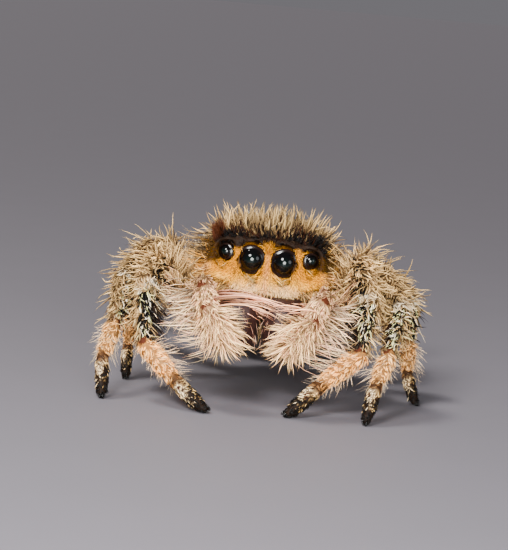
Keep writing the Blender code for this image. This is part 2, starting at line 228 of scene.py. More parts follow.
def drawnIn(name):
    points, normals, faces = weldedNode(name)
    if name in boneOf:
        bone = bones[boneOf[name]]
        depth = skinLook["palpDepth" if "palp" in name else "limbDepth"][bone["bone"]]
        away = points - bone["start"]
        onAxis = bone["start"] + dot(away, bone["axis"])[:, None] * bone["axis"]
        out = points - onAxis
        far = np.linalg.norm(out, axis=1, keepdims=True)
        points = onAxis + out * np.maximum(1 - depth / np.maximum(far, 1e-6), skinLook["limbCore"])
    elif name == "cephalothorax":
        _, up, back = headPlace(points)
        frontness = ease(0.15, 0.7, -dot(normals, headBack)) * ease(1.3, 0.7, back) * ease(-1.7, -1.2, up)
        upness = ease(0.2, 0.8, dot(normals, headUp))
        depth = skinLook["cheekDepth"] + (skinLook["crownDepth"] - skinLook["cheekDepth"]) * upness
        depth += (skinLook["faceDepth"] - depth) * frontness
        depth += (skinLook["bellyDepth"] - depth) * ease(-1.3, -2.0, up)
        points = points - normals * depth[:, None]
    else:
        depth = skinLook["abdomenDepth" if name == "abdomen" else "smallDepth"]
        points = points - normals * depth
    return points, faces


def ballAt(centre, radius):
    mesh = bmesh.new()
    bmesh.ops.create_icosphere(mesh, subdivisions=2, radius=radius)
    points, faces = meshRows(mesh)
    return points + centre, faces


def boneGirth(bone, points, atStart):  # how far the drawn-in bone stands from its axis at one end
    share = dot(points - bone["start"], bone["axis"]) / bone["length"]
    near = share < 0.3 if atStart else share > 0.7
    away = points[near] - bone["start"]
    return np.linalg.norm(away - dot(away, bone["axis"])[:, None] * bone["axis"], axis=1).mean()


def joined(meshes):
    points, faces, count = [], [], 0
    for piecePoints, pieceFaces in meshes:
        faces += [[i + count for i in face] for face in pieceFaces]
        points.append(piecePoints)
        count += len(piecePoints)
    return np.concatenate(points), faces


def edgesOf(faces):
    pairs = np.concatenate([faces[:, [i, (i + 1) % faces.shape[1]]] for i in range(faces.shape[1])])
    pairs.sort(axis=1)
    return np.unique(pairs, axis=0)


def evened(values, edges, rounds, share=0.6):  # each value drawn towards its neighbours' mean
    values = np.array(values, float)
    flat = values.reshape(len(values), -1)
    ends = np.concatenate((edges[:, 0], edges[:, 1]))
    others = np.concatenate((edges[:, 1], edges[:, 0]))
    count = np.maximum(np.bincount(ends, minlength=len(flat)), 1)
    for _ in range(rounds):
        for column in flat.T:
            mean = np.bincount(ends, column[others], len(flat)) / count
            column += share * (mean - column)
    return flat.reshape(values.shape)


def remeshed(points, faces, voxel, rounds):
    mesh = bpy.data.meshes.new("rough")
    mesh.from_pydata(points, [], faces)
    rough = newObject("rough", mesh)
    modifier = rough.modifiers.new("fuse", "REMESH")
    modifier.mode = "VOXEL"
    modifier.voxel_size = voxel
    fused = rough.evaluated_get(bpy.context.evaluated_depsgraph_get()).to_mesh()
    newPoints = np.zeros(len(fused.vertices) * 3)
    fused.vertices.foreach_get("co", newPoints)
    newFaces = np.zeros(len(fused.polygons) * 4, int)
    fused.loops.foreach_get("vertex_index", newFaces)
    bpy.data.objects.remove(rough)
    bpy.data.meshes.remove(mesh)
    newFaces = newFaces.reshape(-1, 4)
    return evened(newPoints.reshape(-1, 3), edgesOf(newFaces), rounds), newFaces


def makeSkinShape():
    flesh = [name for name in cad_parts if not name.startswith(("eye", "chelicera"))]
    drawn = {name: drawnIn(name) for name in flesh}
    balls = []
    for limb in legs + palps:
        chain = [bone for bone in bones if bone["limb"] == limb]
        inner, outer = ([boneGirth(bone, drawn[bone["node"]][0], atStart) for bone in chain]
                        for atStart in (True, False))
        balls.append(ballAt(chain[0]["start"], inner[0]))
        for i in range(1, len(chain)):
            girth = (outer[i - 1] + inner[i]) / 2
            balls.append(ballAt(chain[i]["start"], girth * skinLook["knuckle"]))
    low, high = boxOf("stalk")
    middle = (low + high) / 2
    for y in (low[1] - skinLook["stalkPast"][0], high[1] + skinLook["stalkPast"][1]):
        balls.append(ballAt(np.array((middle[0], y, middle[2])), skinLook["stalkBall"]))
    points, faces = joined([drawn[name] for name in flesh] + balls)
    points, faces = remeshed(points, faces, skinLook["voxel"], skinLook["smoothing"])
    fleshPoints, fleshFaces = joined([drawn[name] for name in flesh])
    owners = np.repeat(flesh, [len(drawn[name][1]) for name in flesh])
    tree = BVHTree.FromPolygons(fleshPoints.tolist(), fleshFaces)
    return points, faces, owners[[tree.find_nearest(point)[2] for point in points.tolist()]], flesh


def halved(faces):  # quads to triangles
    return np.concatenate((faces[:, [0, 1, 2]], faces[:, [0, 2, 3]]))


skinPoints, skinFaces, skinOwner, fleshNodes = makeSkinShape()
skinEdges = edgesOf(skinFaces)
skinTriangles = halved(skinFaces)
print("skin shaped:", len(skinPoints), "points,", len(skinTriangles), "triangles")


def vertexNormals(points, triangles):
    corners = points[triangles]
    faceNormals = np.cross(corners[:, 1] - corners[:, 0], corners[:, 2] - corners[:, 0])
    total = np.zeros_like(points)
    for corner in range(3):
        for axis in range(3):
            total[:, axis] += np.bincount(triangles[:, corner], faceNormals[:, axis], len(points))
    return unit(total)


skinNormals = vertexNormals(skinPoints, skinTriangles)
skinBone = np.array([boneOf.get(name, -1) for name in skinOwner])


# Which coat covers which skin

coatEdges = {              # mm from between the big eyes, and slopes as cosines
    "headBack": 2.9,
    "crownSlope": 0.5,
    "faceBack": 0.9,
    "faceWide": 2.2,
    "faceLow": -1.5,
    "faceSlope": 0.4,
}


def coatPieces():
    across, up, back = headPlace(skinPoints)
    piece = np.full(len(skinPoints), "thorax_coat", dtype=object)
    head = (skinOwner == "cephalothorax") & (back < coatEdges["headBack"])
    crown = head & (dot(skinNormals, headUp) > coatEdges["crownSlope"]) & (up > 0)
    face = head & (back < coatEdges["faceBack"]) & (-dot(skinNormals, headBack) > coatEdges["faceSlope"])
    face &= (np.abs(across) < coatEdges["faceWide"]) & (up > coatEdges["faceLow"])
    belly = np.isin(skinOwner, ("abdomen", "spinnerets"))
    for name, part in (("cheek_coat", head), ("crown_coat", crown), ("face_coat", face),
                       ("abdomen_back_coat", belly & (skinNormals[:, 2] >= 0)),
                       ("abdomen_belly_coat", belly & (skinNormals[:, 2] < 0))):
        piece[part] = name
    limb = skinBone >= 0
    piece[limb] = [f"{name}_coat" for name in boneLimb[skinBone[limb]]]
    return piece


skinPiece = coatPieces()


# The lie of the coat, a direction along the skin for each of its points

lieLook = {
    "parting": 0.25,        # mm above the big eyes' middle, where the face's hair parts
    "eyeReach": 0.30,       # mm round an eye where the hair runs away from it
    "cheekDroop": 0.7,
    "hipDroop": 0.4,
    "limbDroop": 0.15,
    "abdomenDroop": 0.35,
    "smoothing": 12,        # rounds
}


def coatLie():
    across, up, back = headPlace(skinPoints)
    lie = np.tile(headBack, (len(skinPoints), 1))
    # Head: outward and down from between the eyes, then back along the sides
    outward = unit(np.stack((across, up - lieLook["parting"] - 0.25 * np.abs(across)), axis=1))
    faceLie = outward[:, :1] * headAcross + outward[:, 1:] * headUp
    frontness = ease(0.1, 0.6, -dot(skinNormals, headBack)) * ease(1.6, 0.8, back)
    sideness = np.abs(dot(skinNormals, headAcross))
    sideLie = headBack - headUp * sideness[:, None] * lieLook["cheekDroop"]
    head = skinOwner == "cephalothorax"
    lie[head] = blend(sideLie, faceLie, frontness)[head]
    # Hips: outward
    hips = head & (up < -1.2) & (np.abs(across) > 1.3)
    lie[hips] = (np.sign(across)[:, None] * headAcross - headUp * lieLook["hipDroop"])[hips]
    # Abdomen: back, and down its sides
    belly = np.isin(skinOwner, ("abdomen", "spinnerets", "stalk"))
    downSide = np.stack((np.zeros(len(across)), np.ones(len(across)), -np.abs(skinNormals[:, 0])), axis=1)
    downSide[:, 2] *= lieLook["abdomenDroop"]
    lie[belly] = downSide[belly]
    # Limbs: towards the tip
    limb = skinBone >= 0
    own = skinBone[limb]
    lie[limb] = boneRows["axis"][own] - boneRows["back"][own] * lieLook["limbDroop"]
    lie = evened(unit(lie), skinEdges, lieLook["smoothing"])
    for centre, radius in eyes.values():
        away = skinPoints - centre
        near = ease(radius + lieLook["eyeReach"], radius, np.linalg.norm(away, axis=1))
        away = unit(away)
        inward = np.minimum(dot(unit(lie), away), 0.25) - 0.25
        lie = unit(lie) - (inward * near)[:, None] * away
    lie -= dot(lie, skinNormals)[:, None] * skinNormals
    return unit(lie)


skinLie = coatLie()


def eyeGap(points, names=eyeNames):  # mm from each point to the rim of the nearest of these eyes
    return np.min([np.linalg.norm(points - centre, axis=1) - radius
                   for (name, _), (centre, radius) in eyes.items() if name in names], axis=0)


# Bare shiny knuckles

bareLook = {               # mm from the middle of each: hair begins, hair is full
    "shin": (0.15, 0.24),
    "palpInner": (0.08, 0.20),
    "palpOuter": (0.04, 0.15),
}


def kneeGap(points, bone, before, after, facing, girth):  # mm from the middle of a joint's bare patch
    share, angle = bonePlace(points, bone)
    kind = boneKind[bone]
    past = np.where(kind == before, share - 1, np.where(kind == after, share, 9))
    return np.hypot(past * boneRows["length"][bone], np.radians(angle - facing) * girth)


def offKnuckles(points, bone):  # 0 on the bare front of a shin's far end
    return ease(*bareLook["shin"], kneeGap(points, bone, "tibia", "metatarsus", 60, 0.32))


def offPalpKnees(points, bone):  # 0 on the bare backs of a palp's two knees
    inner = ease(*bareLook["palpInner"], kneeGap(points, bone, "femur", "tibia", 0, 0.22))
    return inner * ease(*bareLook["palpOuter"], kneeGap(points, bone, "tibia", "tarsus", 0, 0.18))


def bareness(points, bone):
    bare = np.zeros(len(points))
    limb = bone >= 0
    places, own = points[limb], bone[limb]
    onPalp = np.isin(boneLimb[own], palps)
    bare[limb] = 1 - np.where(onPalp, offPalpKnees(places, own), offKnuckles(places, own))
    return bare


# Markings, the same for skin and coat

markings = {
    "grey": linear(191, 152, 103),
    "shade": linear(112, 92, 60),
    "sand": linear(240, 197, 130),
    "peach": linear(255, 176, 92),
    "cream": linear(255, 210, 150),
    "yellow": linear(252, 180, 24),
    "orange": linear(226, 147, 0),
    "white": linear(250, 238, 214),
    "black": linear(8, 5, 5),
    "umber": linear(58, 28, 14),
    "chestnut": linear(72, 34, 20),
    "rose": linear(250, 168, 140),
    "moss": linear(206, 200, 140),
}


def painted(colour, *coats):  # one marking after another, each by its own share
    for name, share in coats:
        colour = blend(colour, markings[name], np.clip(share + np.zeros(len(colour)), 0, 1))
    return colour


def headMarking(colour, points, chance):
    across, up, back = headPlace(points)
    rough = ripple(points, 0.28) * 0.07 + (chance - 0.5) * 0.12
    wide = np.abs(across)
    front = ease(1.3, 0.7, back)
    yellow = front * ease(2.1, 1.5, wide) * ease(-0.9, -0.5, up + rough) * ease(0.62, 0.48, up) * 0.9
    orange = 1.5 * front * ease(1.85, 1.45, wide + rough) * ease(-0.62, -0.25, up + rough)
    orange = orange * ease(0.58, 0.44, up) * (0.6 + 0.4 * ease(0.7, 1.2, wide))
    bandLow = 0.40 + 0.10 * ripple(points, 0.5, 2) - 0.10 * ease(0.7, 1.4, wide)
    band = ease(bandLow, bandLow + 0.10, up) * ease(2.35, 2.1, wide) * ease(1.25, 0.8, back)
    band *= ease(0.82, 0.70, up + rough)
    band *= 1 - hump(across, 0, 0.30) * ease(0.62, 0.45, up)  # parted between the big eyes
    patch = ease(0.62, 0.42, np.hypot((wide - 1.78) / 1.0, (up - 0.28) / 0.85)) * ease(1.9, 1.4, back)
    return painted(
        colour,
        ("shade", ease(0.5, 0.9, up) * (0.5 + 0.5 * chance)),
        ("cream", front * ease(2.3, 1.6, wide) * ease(-0.2, -0.5, up + rough)),
        ("yellow", yellow),
        ("orange", orange),
        ("rose", front * hump(across, 0, 0.13) * ease(0.35, 0.1, up) * 0.25),
        ("rose", front * ease(1.5, 1.9, wide) * ease(0.2, -0.4, up) * 0.45),
        ("umber", band),
        ("black", band * ease(0.05, 0.3, chance + 0.2 * ripple(points, 0.4))),
        ("black", patch * 0.92),
        ("black", ease(0.075, 0.035, eyeGap(points))),
    )


abdomenLook = {            # shares of the abdomen's length and half width
    "spots": ((0.34, 0.20, 0.085), (0.54, 0.22, 0.10), (0.72, 0.22, 0.065), (0.84, 0.17, 0.05)),
    "stripes": (0.30, 0.50, 0.68),
}


def abdomenMarking(colour, points, chance):
    low, high = boxOf("abdomen")
    middle, half = (low + high) / 2, (high - low) / 2
    across = (points[:, 0] - middle[0]) / half[0]
    along = (points[:, 1] - low[1]) / (2 * half[1])
    height = (points[:, 2] - middle[2]) / half[2]
    rough = ripple(points, 0.5, 1) * 0.03 + (chance - 0.5) * 0.05
    wide = np.abs(across)
    top = ease(-0.1, 0.3, height)
    field = top * ease(0.62, 0.50, wide + rough) * ease(0.16, 0.24, along) * ease(0.97, 0.9, along)
    colour = painted(
        colour,
        ("shade", field * 0.75),
        ("umber", field * hump(wide + rough, 0.33, 0.22) * ease(0.2, 0.4, along) * 0.8),
        ("sand", top * hump(along + rough - 0.10 * wide, 0.10, 0.08)),
    )
    for place, spread, size in abdomenLook["spots"]:
        spot = np.hypot((wide - spread) * half[0] / half[1] / 2, (along - place) * 1.15)
        colour = painted(colour, ("white", top * ease(size, size * 0.6, spot + rough * 0.6)))
    for place in abdomenLook["stripes"]:
        stripe = hump(along + rough + 0.25 * (wide - 0.8), place, 0.045) * ease(0.62, 0.72, wide)
        colour = painted(colour, ("white", stripe * ease(-0.5, -0.1, height) * 0.8))
    return painted(colour, ("shade", ease(-0.4, -0.8, height) * 0.4))


def limbMarking(colour, points, chance, index):
    share, angle = bonePlace(points, index)
    rough = ripple(points, 0.35, 3) * 0.05 + (chance - 0.5) * 0.06
    along = share + rough
    first = np.isin(boneLimb[index], frontLegs)
    patella, tibia, metatarsus, tarsus = (boneKind[index] == name for name in legBones[1:])
    second, third = np.mod(chance * 7.3, 1), np.mod(chance * 3.7, 1)
    front = hump(angle, 80, 80)
    before = patella * ease(0.45, 0.6, along) * ease(0.90, 0.84, along)
    column = first & patella & (front > 0.35)
    knee = patella * ease(0.86, 0.92, along) + tibia * ease(0.05, 0.01, along)
    fleck = tibia * ease(0.0, 0.4, front) * ease(0.05, 0.12, along) * ease(0.99, 0.92, along)
    brush = tibia * hump(np.abs(angle), 150, 75) * ease(0.15, 0.3, along) * ease(1.0, 0.9, along)
    ring = metatarsus * ease(0.86, 0.93, along) + tarsus * ease(0.08, 0.03, along)
    foot = tarsus * ease(0.06, 0.14, along)
    toe = tarsus * ease(0.40, 0.55, along + 0.34 * (1 - hump(angle, 0, 95)))
    return painted(
        colour,
        ("shade", np.where(first, 0.08, 0.34)),
        ("umber", 0.8 * (np.mod(chance * 5.9, 1) < 0.10)),
        # Knee: dark flecks, then a narrow pale band
        ("black", before * front * ease(0.3, 0.4, chance)),
        ("black", column * (second < 0.42)),
        ("white", knee * 0.6 * front),
        # Shin: flecked front, dark inner brush, dark end
        ("black", fleck * (second < 0.62)),
        ("white", fleck * (second > 0.82) * 0.8),
        ("moss", fleck * (second > 0.62) * (third > 0.65)),
        ("umber", brush * (0.55 + 0.4 * first)),
        ("black", brush * first * ease(0.0, 0.12, chance)),
        ("umber", tibia * ease(0.90, 0.97, along) * 0.6),
        # Far bones: peach, a dark ring, then the pale and black foot
        ("peach", metatarsus * (0.6 + 0.4 * first)),
        ("cream", metatarsus * ease(0.5, 0.95, third) * 0.6),
        ("umber", ring * 0.85),
        ("sand", foot),
        ("white", foot * hump(angle, 10, 60) * 0.5),
        ("umber", tarsus * (second < 0.32)),
        ("black", toe * np.where((third > 0.86) & (along < 0.72), 0.3, 1)),
    )


def palpMarking(colour, points, chance, index):
    share, _ = bonePlace(points, index)
    bare = (boneKind[index] == "femur") * ease(0.78, 0.9, share)
    bare += (boneKind[index] == "tibia") * ease(0.12, 0.04, share)
    return painted(
        colour,
        ("cream", 0.75 + 0.4 * (chance - 0.5)),
        ("rose", 0.6 * ease(0.3, 0.9, np.mod(chance * 5.3, 1))),
        ("shade", 0.7 * (np.mod(chance * 3.1, 1) < 0.22)),
        ("chestnut", bare * 0.5),
    )


def markingAt(points, owner, bone, chance):
    colour = painted(
        np.tile(markings["grey"], (len(points), 1)),
        ("shade", 0.45 * ease(0.1, 1.2, ripple(points, 1.1, 5) + chance)),
        ("sand", 0.5 * ease(0.6, 1.0, chance)),
        ("umber", 0.75 * (np.mod(chance * 9.1, 1) < 0.15)),
    )
    palp = (bone >= 0) & np.isin(boneLimb[bone], palps)
    for part, marking, given in (
        (owner == "cephalothorax", headMarking, (points, chance)),
        (np.isin(owner, ("abdomen", "spinnerets", "stalk")), abdomenMarking, (points, chance)),
        ((bone >= 0) & ~palp, limbMarking, (points, chance, bone)),
        (palp, palpMarking, (points, chance, bone)),
    ):
        colour[part] = marking(colour[part], *(rows[part] for rows in given))
    jaw = np.char.startswith(owner.astype(str), "chelicera")
    colour[jaw] = painted(colour[jaw], ("rose", 0.8), ("white", chance[jaw] * 0.5))
    return np.clip(colour, 0.002, 1)


# Shader node groups and materials

def feed(tree, socket, value):  # joins another node's output, or sets a constant
    if isinstance(value, bpy.types.NodeSocket):
        tree.links.new(value, socket)
    else:
        socket.default_value = value


def addNode(tree, kind, inputs=None, **settings):
    node = tree.nodes.new(kind)
    for name, value in settings.items():
        setattr(node, name, value)
    for name, value in (inputs or {}).items():
        feed(tree, node.inputs[name], value)
    return node


def sumNode(tree, operation, *values):
    return addNode(tree, "ShaderNodeMath", dict(enumerate(values)), operation=operation).outputs[0]


def mixNode(tree, factor, first, second, blendType="MIX"):
    inputs = {0: factor, 6: first, 7: second}
    return addNode(tree, "ShaderNodeMix", inputs, data_type="RGBA", blend_type=blendType).outputs[2]


def newGroup(name, inputs, outputs):
    group = bpy.data.node_groups.new(name, "ShaderNodeTree")
    for socketName, kind, value in inputs:
        socket = group.interface.new_socket(socketName, in_out="INPUT", socket_type=kind)
        socket.default_value = value
    for socketName, kind in outputs:
        group.interface.new_socket(socketName, in_out="OUTPUT", socket_type=kind)
    return group, group.nodes.new("NodeGroupInput"), group.nodes.new("NodeGroupOutput")


tuftShadeLook = {
    "lumps": 2600.0,       # patches of lighter and darker hair, to the metre
    "rootReach": 1.9,      # how soon a hair comes out of the shade at its root
    "eachHair": 0.65,      # unevenness from hair to hair
    "eachPatch": 0.70,     # and from patch to patch
    "middle": 0.67,
}


def makeTuftShade():
    group, given, result = newGroup("tuftShade", (
        ("Marking", "NodeSocketColor", (0.5, 0.4, 0.3, 1)),
        ("Along", "NodeSocketFloat", 0.5),
        ("Chance", "NodeSocketFloat", 0.5),
        ("Root", "NodeSocketColor", (0.1, 0.06, 0.04, 1)),
        ("Tip Light", "NodeSocketFloat", 0.25),
        ("Variety", "NodeSocketFloat", 0.3),
    ), (("Colour", "NodeSocketColor"), ("Tip", "NodeSocketFloat")))
    look, values = tuftShadeLook, given.outputs
    place = addNode(group, "ShaderNodeTexCoord").outputs["Object"]
    lumps = addNode(group, "ShaderNodeTexNoise", {"Vector": place, "Scale": look["lumps"], "Detail": 2.0})
    reach = sumNode(group, "MULTIPLY", values["Along"], look["rootReach"])
    outOfShade = sumNode(group, "SMOOTH_MIN", reach, 1.0, 0.3)
    # Painted shade: near its root each hair is darkened towards the root colour, as if shaded deep in the
    # coat
    depth = mixNode(group, outOfShade, values["Root"], (1, 1, 1, 1))
    eachHair = sumNode(group, "MULTIPLY", values["Chance"], look["eachHair"])
    eachPatch = sumNode(group, "MULTIPLY", lumps.outputs["Fac"], look["eachPatch"])
    spread = sumNode(group, "SUBTRACT", sumNode(group, "ADD", eachHair, eachPatch), look["middle"])
    spread = sumNode(group, "MULTIPLY_ADD", spread, values["Variety"], 1.0)
    # Painted light: the tips are made lighter by Tip Light, as if lit where the roots lie in shade
    tip = sumNode(group, "POWER", values["Along"], 2.0)
    paintedTipLight = sumNode(group, "MULTIPLY_ADD", tip, values["Tip Light"], 1.0)
    shaded = mixNode(group, 1.0, values["Marking"], depth, "MULTIPLY")
    lit = mixNode(group, 1.0, shaded, sumNode(group, "MULTIPLY", spread, paintedTipLight), "MULTIPLY")
    feed(group, result.inputs["Colour"], lit)
    feed(group, result.inputs["Tip"], tip)
    return group


def makeFineGrain():
    group, given, result = newGroup("fineGrain", (
        ("Colour", "NodeSocketColor", (0.5, 0.4, 0.3, 1)),
        ("Size", "NodeSocketFloat", 9000.0),
        ("Contrast", "NodeSocketFloat", 0.4),
    ), (("Colour", "NodeSocketColor"), ("Height", "NodeSocketFloat"), ("Mask", "NodeSocketFloat")))
    size = given.outputs["Size"]
    place = addNode(group, "ShaderNodeTexCoord").outputs["Object"]
    noise = addNode(group, "ShaderNodeTexNoise", {"Vector": place, "Scale": size, "Detail": 3.0})
    grain = noise.outputs["Fac"]
    cells = addNode(group, "ShaderNodeTexVoronoi", {"Vector": place, "Scale": size}).outputs["Distance"]
    uneven = sumNode(group, "SUBTRACT", grain, 0.5)
    level = sumNode(group, "MULTIPLY_ADD", uneven, given.outputs["Contrast"], 1.0)
    feed(group, result.inputs["Colour"], mixNode(group, 1.0, given.outputs["Colour"], level, "MULTIPLY"))
    feed(group, result.inputs["Height"], sumNode(group, "ADD", grain, sumNode(group, "MULTIPLY", cells, 0.5)))
    feed(group, result.inputs["Mask"], grain)
    return group


tuftShade = makeTuftShade()
fineGrain = makeFineGrain()


def newMaterial(name, **constants):
    material = bpy.data.materials.new(name)
    material.use_nodes = True
    tree = material.node_tree
    shader = tree.nodes["Principled BSDF"]
    for socketName, value in constants.items():
        shader.inputs[socketName.replace("_", " ")].default_value = value
    return material, tree, shader


def placeGroup(tree, group, **values):
    node = tree.nodes.new("ShaderNodeGroup")
    node.node_tree = group
    for name, value in values.items():
        feed(tree, node.inputs[name.replace("_", " ")], value)
    return node.outputs


def attributeNode(tree, name, output="Fac"):
    return addNode(tree, "ShaderNodeAttribute", attribute_name=name).outputs[output]


def finishWith(tree, shader, colour, rough, height=None, strength=0.5, distance=0.00002):
    feed(tree, shader.inputs["Base Color"], colour)
    feed(tree, shader.inputs["Roughness"], sumNode(tree, "MULTIPLY_ADD", *rough))
    if height is not None:
        bump = addNode(tree, "ShaderNodeBump", {"Height": height, "Strength": strength, "Distance": distance})
        feed(tree, shader.inputs["Normal"], bump.outputs["Normal"])


# root: painted shade, the colour each hair is darkened to at its root deep in the coat; tipLight: painted
# light, how much lighter the tips are made; variety: from hair to hair
coatFinish = {
    "greyCoat": {"root": (0.07, 0.038, 0.018, 1), "tipLight": 0.55, "variety": 1.0,
                 "roughness": 0.42, "gloss": 0.14},
    "crestCoat": {"root": (0.10, 0.055, 0.025, 1), "tipLight": 0.45, "variety": 1.0,
                  "roughness": 0.46, "gloss": 0.06},
    "creamCoat": {"root": (0.09, 0.036, 0.018, 1), "tipLight": 0.6, "variety": 1.2,
                  "roughness": 0.40, "gloss": 0.12},
    "faceCoat": {"root": (0.45, 0.26, 0.08, 1), "tipLight": 0.0, "variety": 0.4,
                 "roughness": 0.48, "gloss": 0.0},
}


def makeCoatMaterial(name, finish):
    material, tree, shader = newMaterial(name, Specular_IOR_Level=finish["gloss"])
    shade = placeGroup(tree, tuftShade, Marking=attributeNode(tree, "marking", "Color"),
                       Along=attributeNode(tree, "along"), Chance=attributeNode(tree, "chance"),
                       Root=finish["root"], Tip_Light=finish["tipLight"], Variety=finish["variety"])
    finishWith(tree, shader, shade["Colour"], (shade["Tip"], -0.12, finish["roughness"]))
    return material


skinFinish = {
    "gloss": 0.06,
    # deep: the colour of the painted shade where the coat covers the skin
    "deep": (0.060, 0.028, 0.014, 1),
    "coatShade": 0.80,         # painted shade under the coat: how much of the marking is darkened to the deep colour
    "bareShade": 0.05,     # and on the knuckles
    "grain": 9000.0,       # to the metre
}


def makeSkinMaterial():
    material, tree, shader = newMaterial("skinBrown", Specular_IOR_Level=skinFinish["gloss"])
    marking = attributeNode(tree, "marking", "Color")
    # Painted shade: the marking is darkened where the coat covers the skin, and hardly on the bare knuckles
    less = skinFinish["bareShade"] - skinFinish["coatShade"]
    coatShade = sumNode(tree, "MULTIPLY_ADD", attributeNode(tree, "bare"), less, skinFinish["coatShade"])
    deep = mixNode(tree, coatShade, marking, mixNode(tree, 0.8, skinFinish["deep"], marking, "MULTIPLY"))
    grain = placeGroup(tree, fineGrain, Colour=deep, Size=skinFinish["grain"], Contrast=0.9)
    finishWith(tree, shader, grain["Colour"], (grain["Mask"], 0.35, 0.40), grain["Height"])
    return material


coatMaterials = {name: makeCoatMaterial(name, finish) for name, finish in coatFinish.items()}
skinMaterial = makeSkinMaterial()


# Making mesh pieces

def makeMesh(name, points, faces, material, slot, attributes=None):
    mesh = bpy.data.meshes.new(name)
    faces = np.asarray(faces)
    mesh.vertices.add(len(points))
    mesh.vertices.foreach_set("co", (np.asarray(points) * mm).astype(np.float32).ravel())
    mesh.loops.add(faces.size)
    mesh.loops.foreach_set("vertex_index", faces.ravel().astype(np.int32))
    mesh.polygons.add(len(faces))
    mesh.polygons.foreach_set("loop_start", np.arange(0, faces.size, faces.shape[1], dtype=np.int32))
    mesh.polygons.foreach_set("use_smooth", np.ones(len(faces), bool))
    mesh.update(calc_edges=True)
    for key, values in (attributes or {}).items():
        if values.ndim == 2:
            layer = mesh.attributes.new(key, "FLOAT_COLOR", "POINT")
            values = np.concatenate((values, np.ones((len(values), 1))), axis=1)
            layer.data.foreach_set("color", values.astype(np.float32).ravel())
        else:
            mesh.attributes.new(key, "FLOAT", "POINT").data.foreach_set("value", values.astype(np.float32))
    mesh.materials.append(material)
    piece = newObject(name, mesh)
    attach(piece, "root")
    return piece


def makeSkin():
    chance = np.clip(0.5 + 0.35 * ripple(skinPoints, 0.16, 4), 0, 1)
    bare = bareness(skinPoints, skinBone)
    colours = painted(markingAt(skinPoints, skinOwner, skinBone, chance), ("chestnut", bare * 1.3))
    skin = makeMesh("skin", skinPoints, skinFaces, skinMaterial, "grey_coat",
                    {"marking": colours, "bare": bare})
    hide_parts(*fleshNodes)


makeSkin()
print("skin made")


# Jaws: separate shells below the face

jawLook = {
    "voxel": 0.05,         # mm
    "smoothing": 4,        # rounds
    "base": (0.022, 0.006, 0.005, 1),
    # the colour of a painted sheen, where the jaw is seen edge-on
    "paintedSheen": (0.03, 0.02, 0.016, 1),
    "hairFrom": 0.2,       # only skin that faces forward more than this carries hair
}


def makeJawMaterial():
    material, tree, shader = newMaterial("jawBronze", Specular_IOR_Level=0.3)
    grain = placeGroup(tree, fineGrain, Colour=jawLook["base"], Size=7000.0, Contrast=0.8)
    # Painted sheen: the colour turns lighter where the jaw is seen edge-on
    facing = addNode(tree, "ShaderNodeLayerWeight", {"Blend": 0.35}).outputs["Facing"]
    colour = mixNode(tree, sumNode(tree, "MULTIPLY", facing, 0.6), grain["Colour"], jawLook["paintedSheen"])
    finishWith(tree, shader, colour, (grain["Mask"], 0.3, 0.3), grain["Height"], 0.6, 0.00003)
    return material


jawMaterial = makeJawMaterial()
jawShapes = {}


def makeJaw(side):
    points, _, faces = weldedNode(f"chelicera_{side}")
    jawShapes[side] = remeshed(points, faces, jawLook["voxel"], jawLook["smoothing"])
    piece = makeMesh(f"jaw_{side}", *jawShapes[side], jawMaterial, "jaw_bronze")
    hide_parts(f"chelicera_{side}")


def jawSurface(side):
    points, faces = jawShapes[side]
    triangles, count = halved(faces), len(points)
    normals = vertexNormals(points, triangles)
    piece = np.where(-dot(normals, headBack) > jawLook["hairFrom"], f"jaw_{side}_coat", "bare")
    return {"points": points, "triangles": triangles, "normals": normals, "lie": np.tile(-headUp, (count, 1)),
            "owner": np.full(count, f"chelicera_{side}"), "bone": np.full(count, -1), "piece": piece}


for side in sideSigns:
    makeJaw(side)
print("jaws made")


# Tufts: thin tapered blades that bend along the lie

skinSurface = {"points": skinPoints, "triangles": skinTriangles, "normals": skinNormals, "lie": skinLie,
               "owner": skinOwner, "bone": skinBone, "piece": skinPiece}


def scatter(surface, piece, perMm2, rng, thin=None):
    triangles = surface["triangles"]
    corners = surface["points"][triangles]
    crossed = np.cross(corners[:, 1] - corners[:, 0], corners[:, 2] - corners[:, 0])
    area = 0.5 * np.linalg.norm(crossed, axis=1)
    weight = area * perMm2 * (surface["piece"][triangles[:, 0]] == piece)
    if thin is not None:
        weight *= thin(corners.mean(1), surface["bone"][triangles[:, 0]])
    total = weight.cumsum()
    count = int(total[-1])
    picks = (np.arange(count) + rng.random(count)) * (total[-1] / max(count, 1))
    face = np.searchsorted(total, picks)
    shares = rng.random((count, 2))
    over = shares.sum(1) > 1
    shares[over] = 1 - shares[over]
    shares = np.stack((1 - shares.sum(1), shares[:, 0], shares[:, 1]), axis=1)

    def between(key):
        return (surface[key][triangles[face]] * shares[:, :, None]).sum(1)

    corner = triangles[face, 0]
    return {"root": between("points"), "normal": unit(between("normals")), "lie": unit(between("lie")),
            "owner": surface["owner"][corner], "bone": surface["bone"][corner]}


def onlyWhere(found, layer, rng):  # keeps the tufts of a layer that grows on some bones or in some places
    keep = np.ones(len(found["root"]), bool)
    if "limbs" in layer:
        keep &= np.isin(boneLimb[found["bone"]], layer["limbs"])
    if "bones" in layer:
        keep &= np.isin(boneKind[found["bone"]], layer["bones"])
    if "round" in layer:
        middle, reach = layer["round"]
        _, angle = bonePlace(found["root"], found["bone"])
        turned = (angle - middle + 180) % 360 - 180
        keep &= hump(turned, 0, reach) > rng.random(len(turned)) * 0.6
    if "near" in layer:
        name, reach = layer["near"]
        keep &= eyeGap(found["root"], (name,)) < reach
    if "within" in layer:
        for places, (low, high) in zip(headPlace(found["root"]), layer["within"]):
            keep &= (places > low) & (places < high)
    return {key: values[keep] for key, values in found.items()}


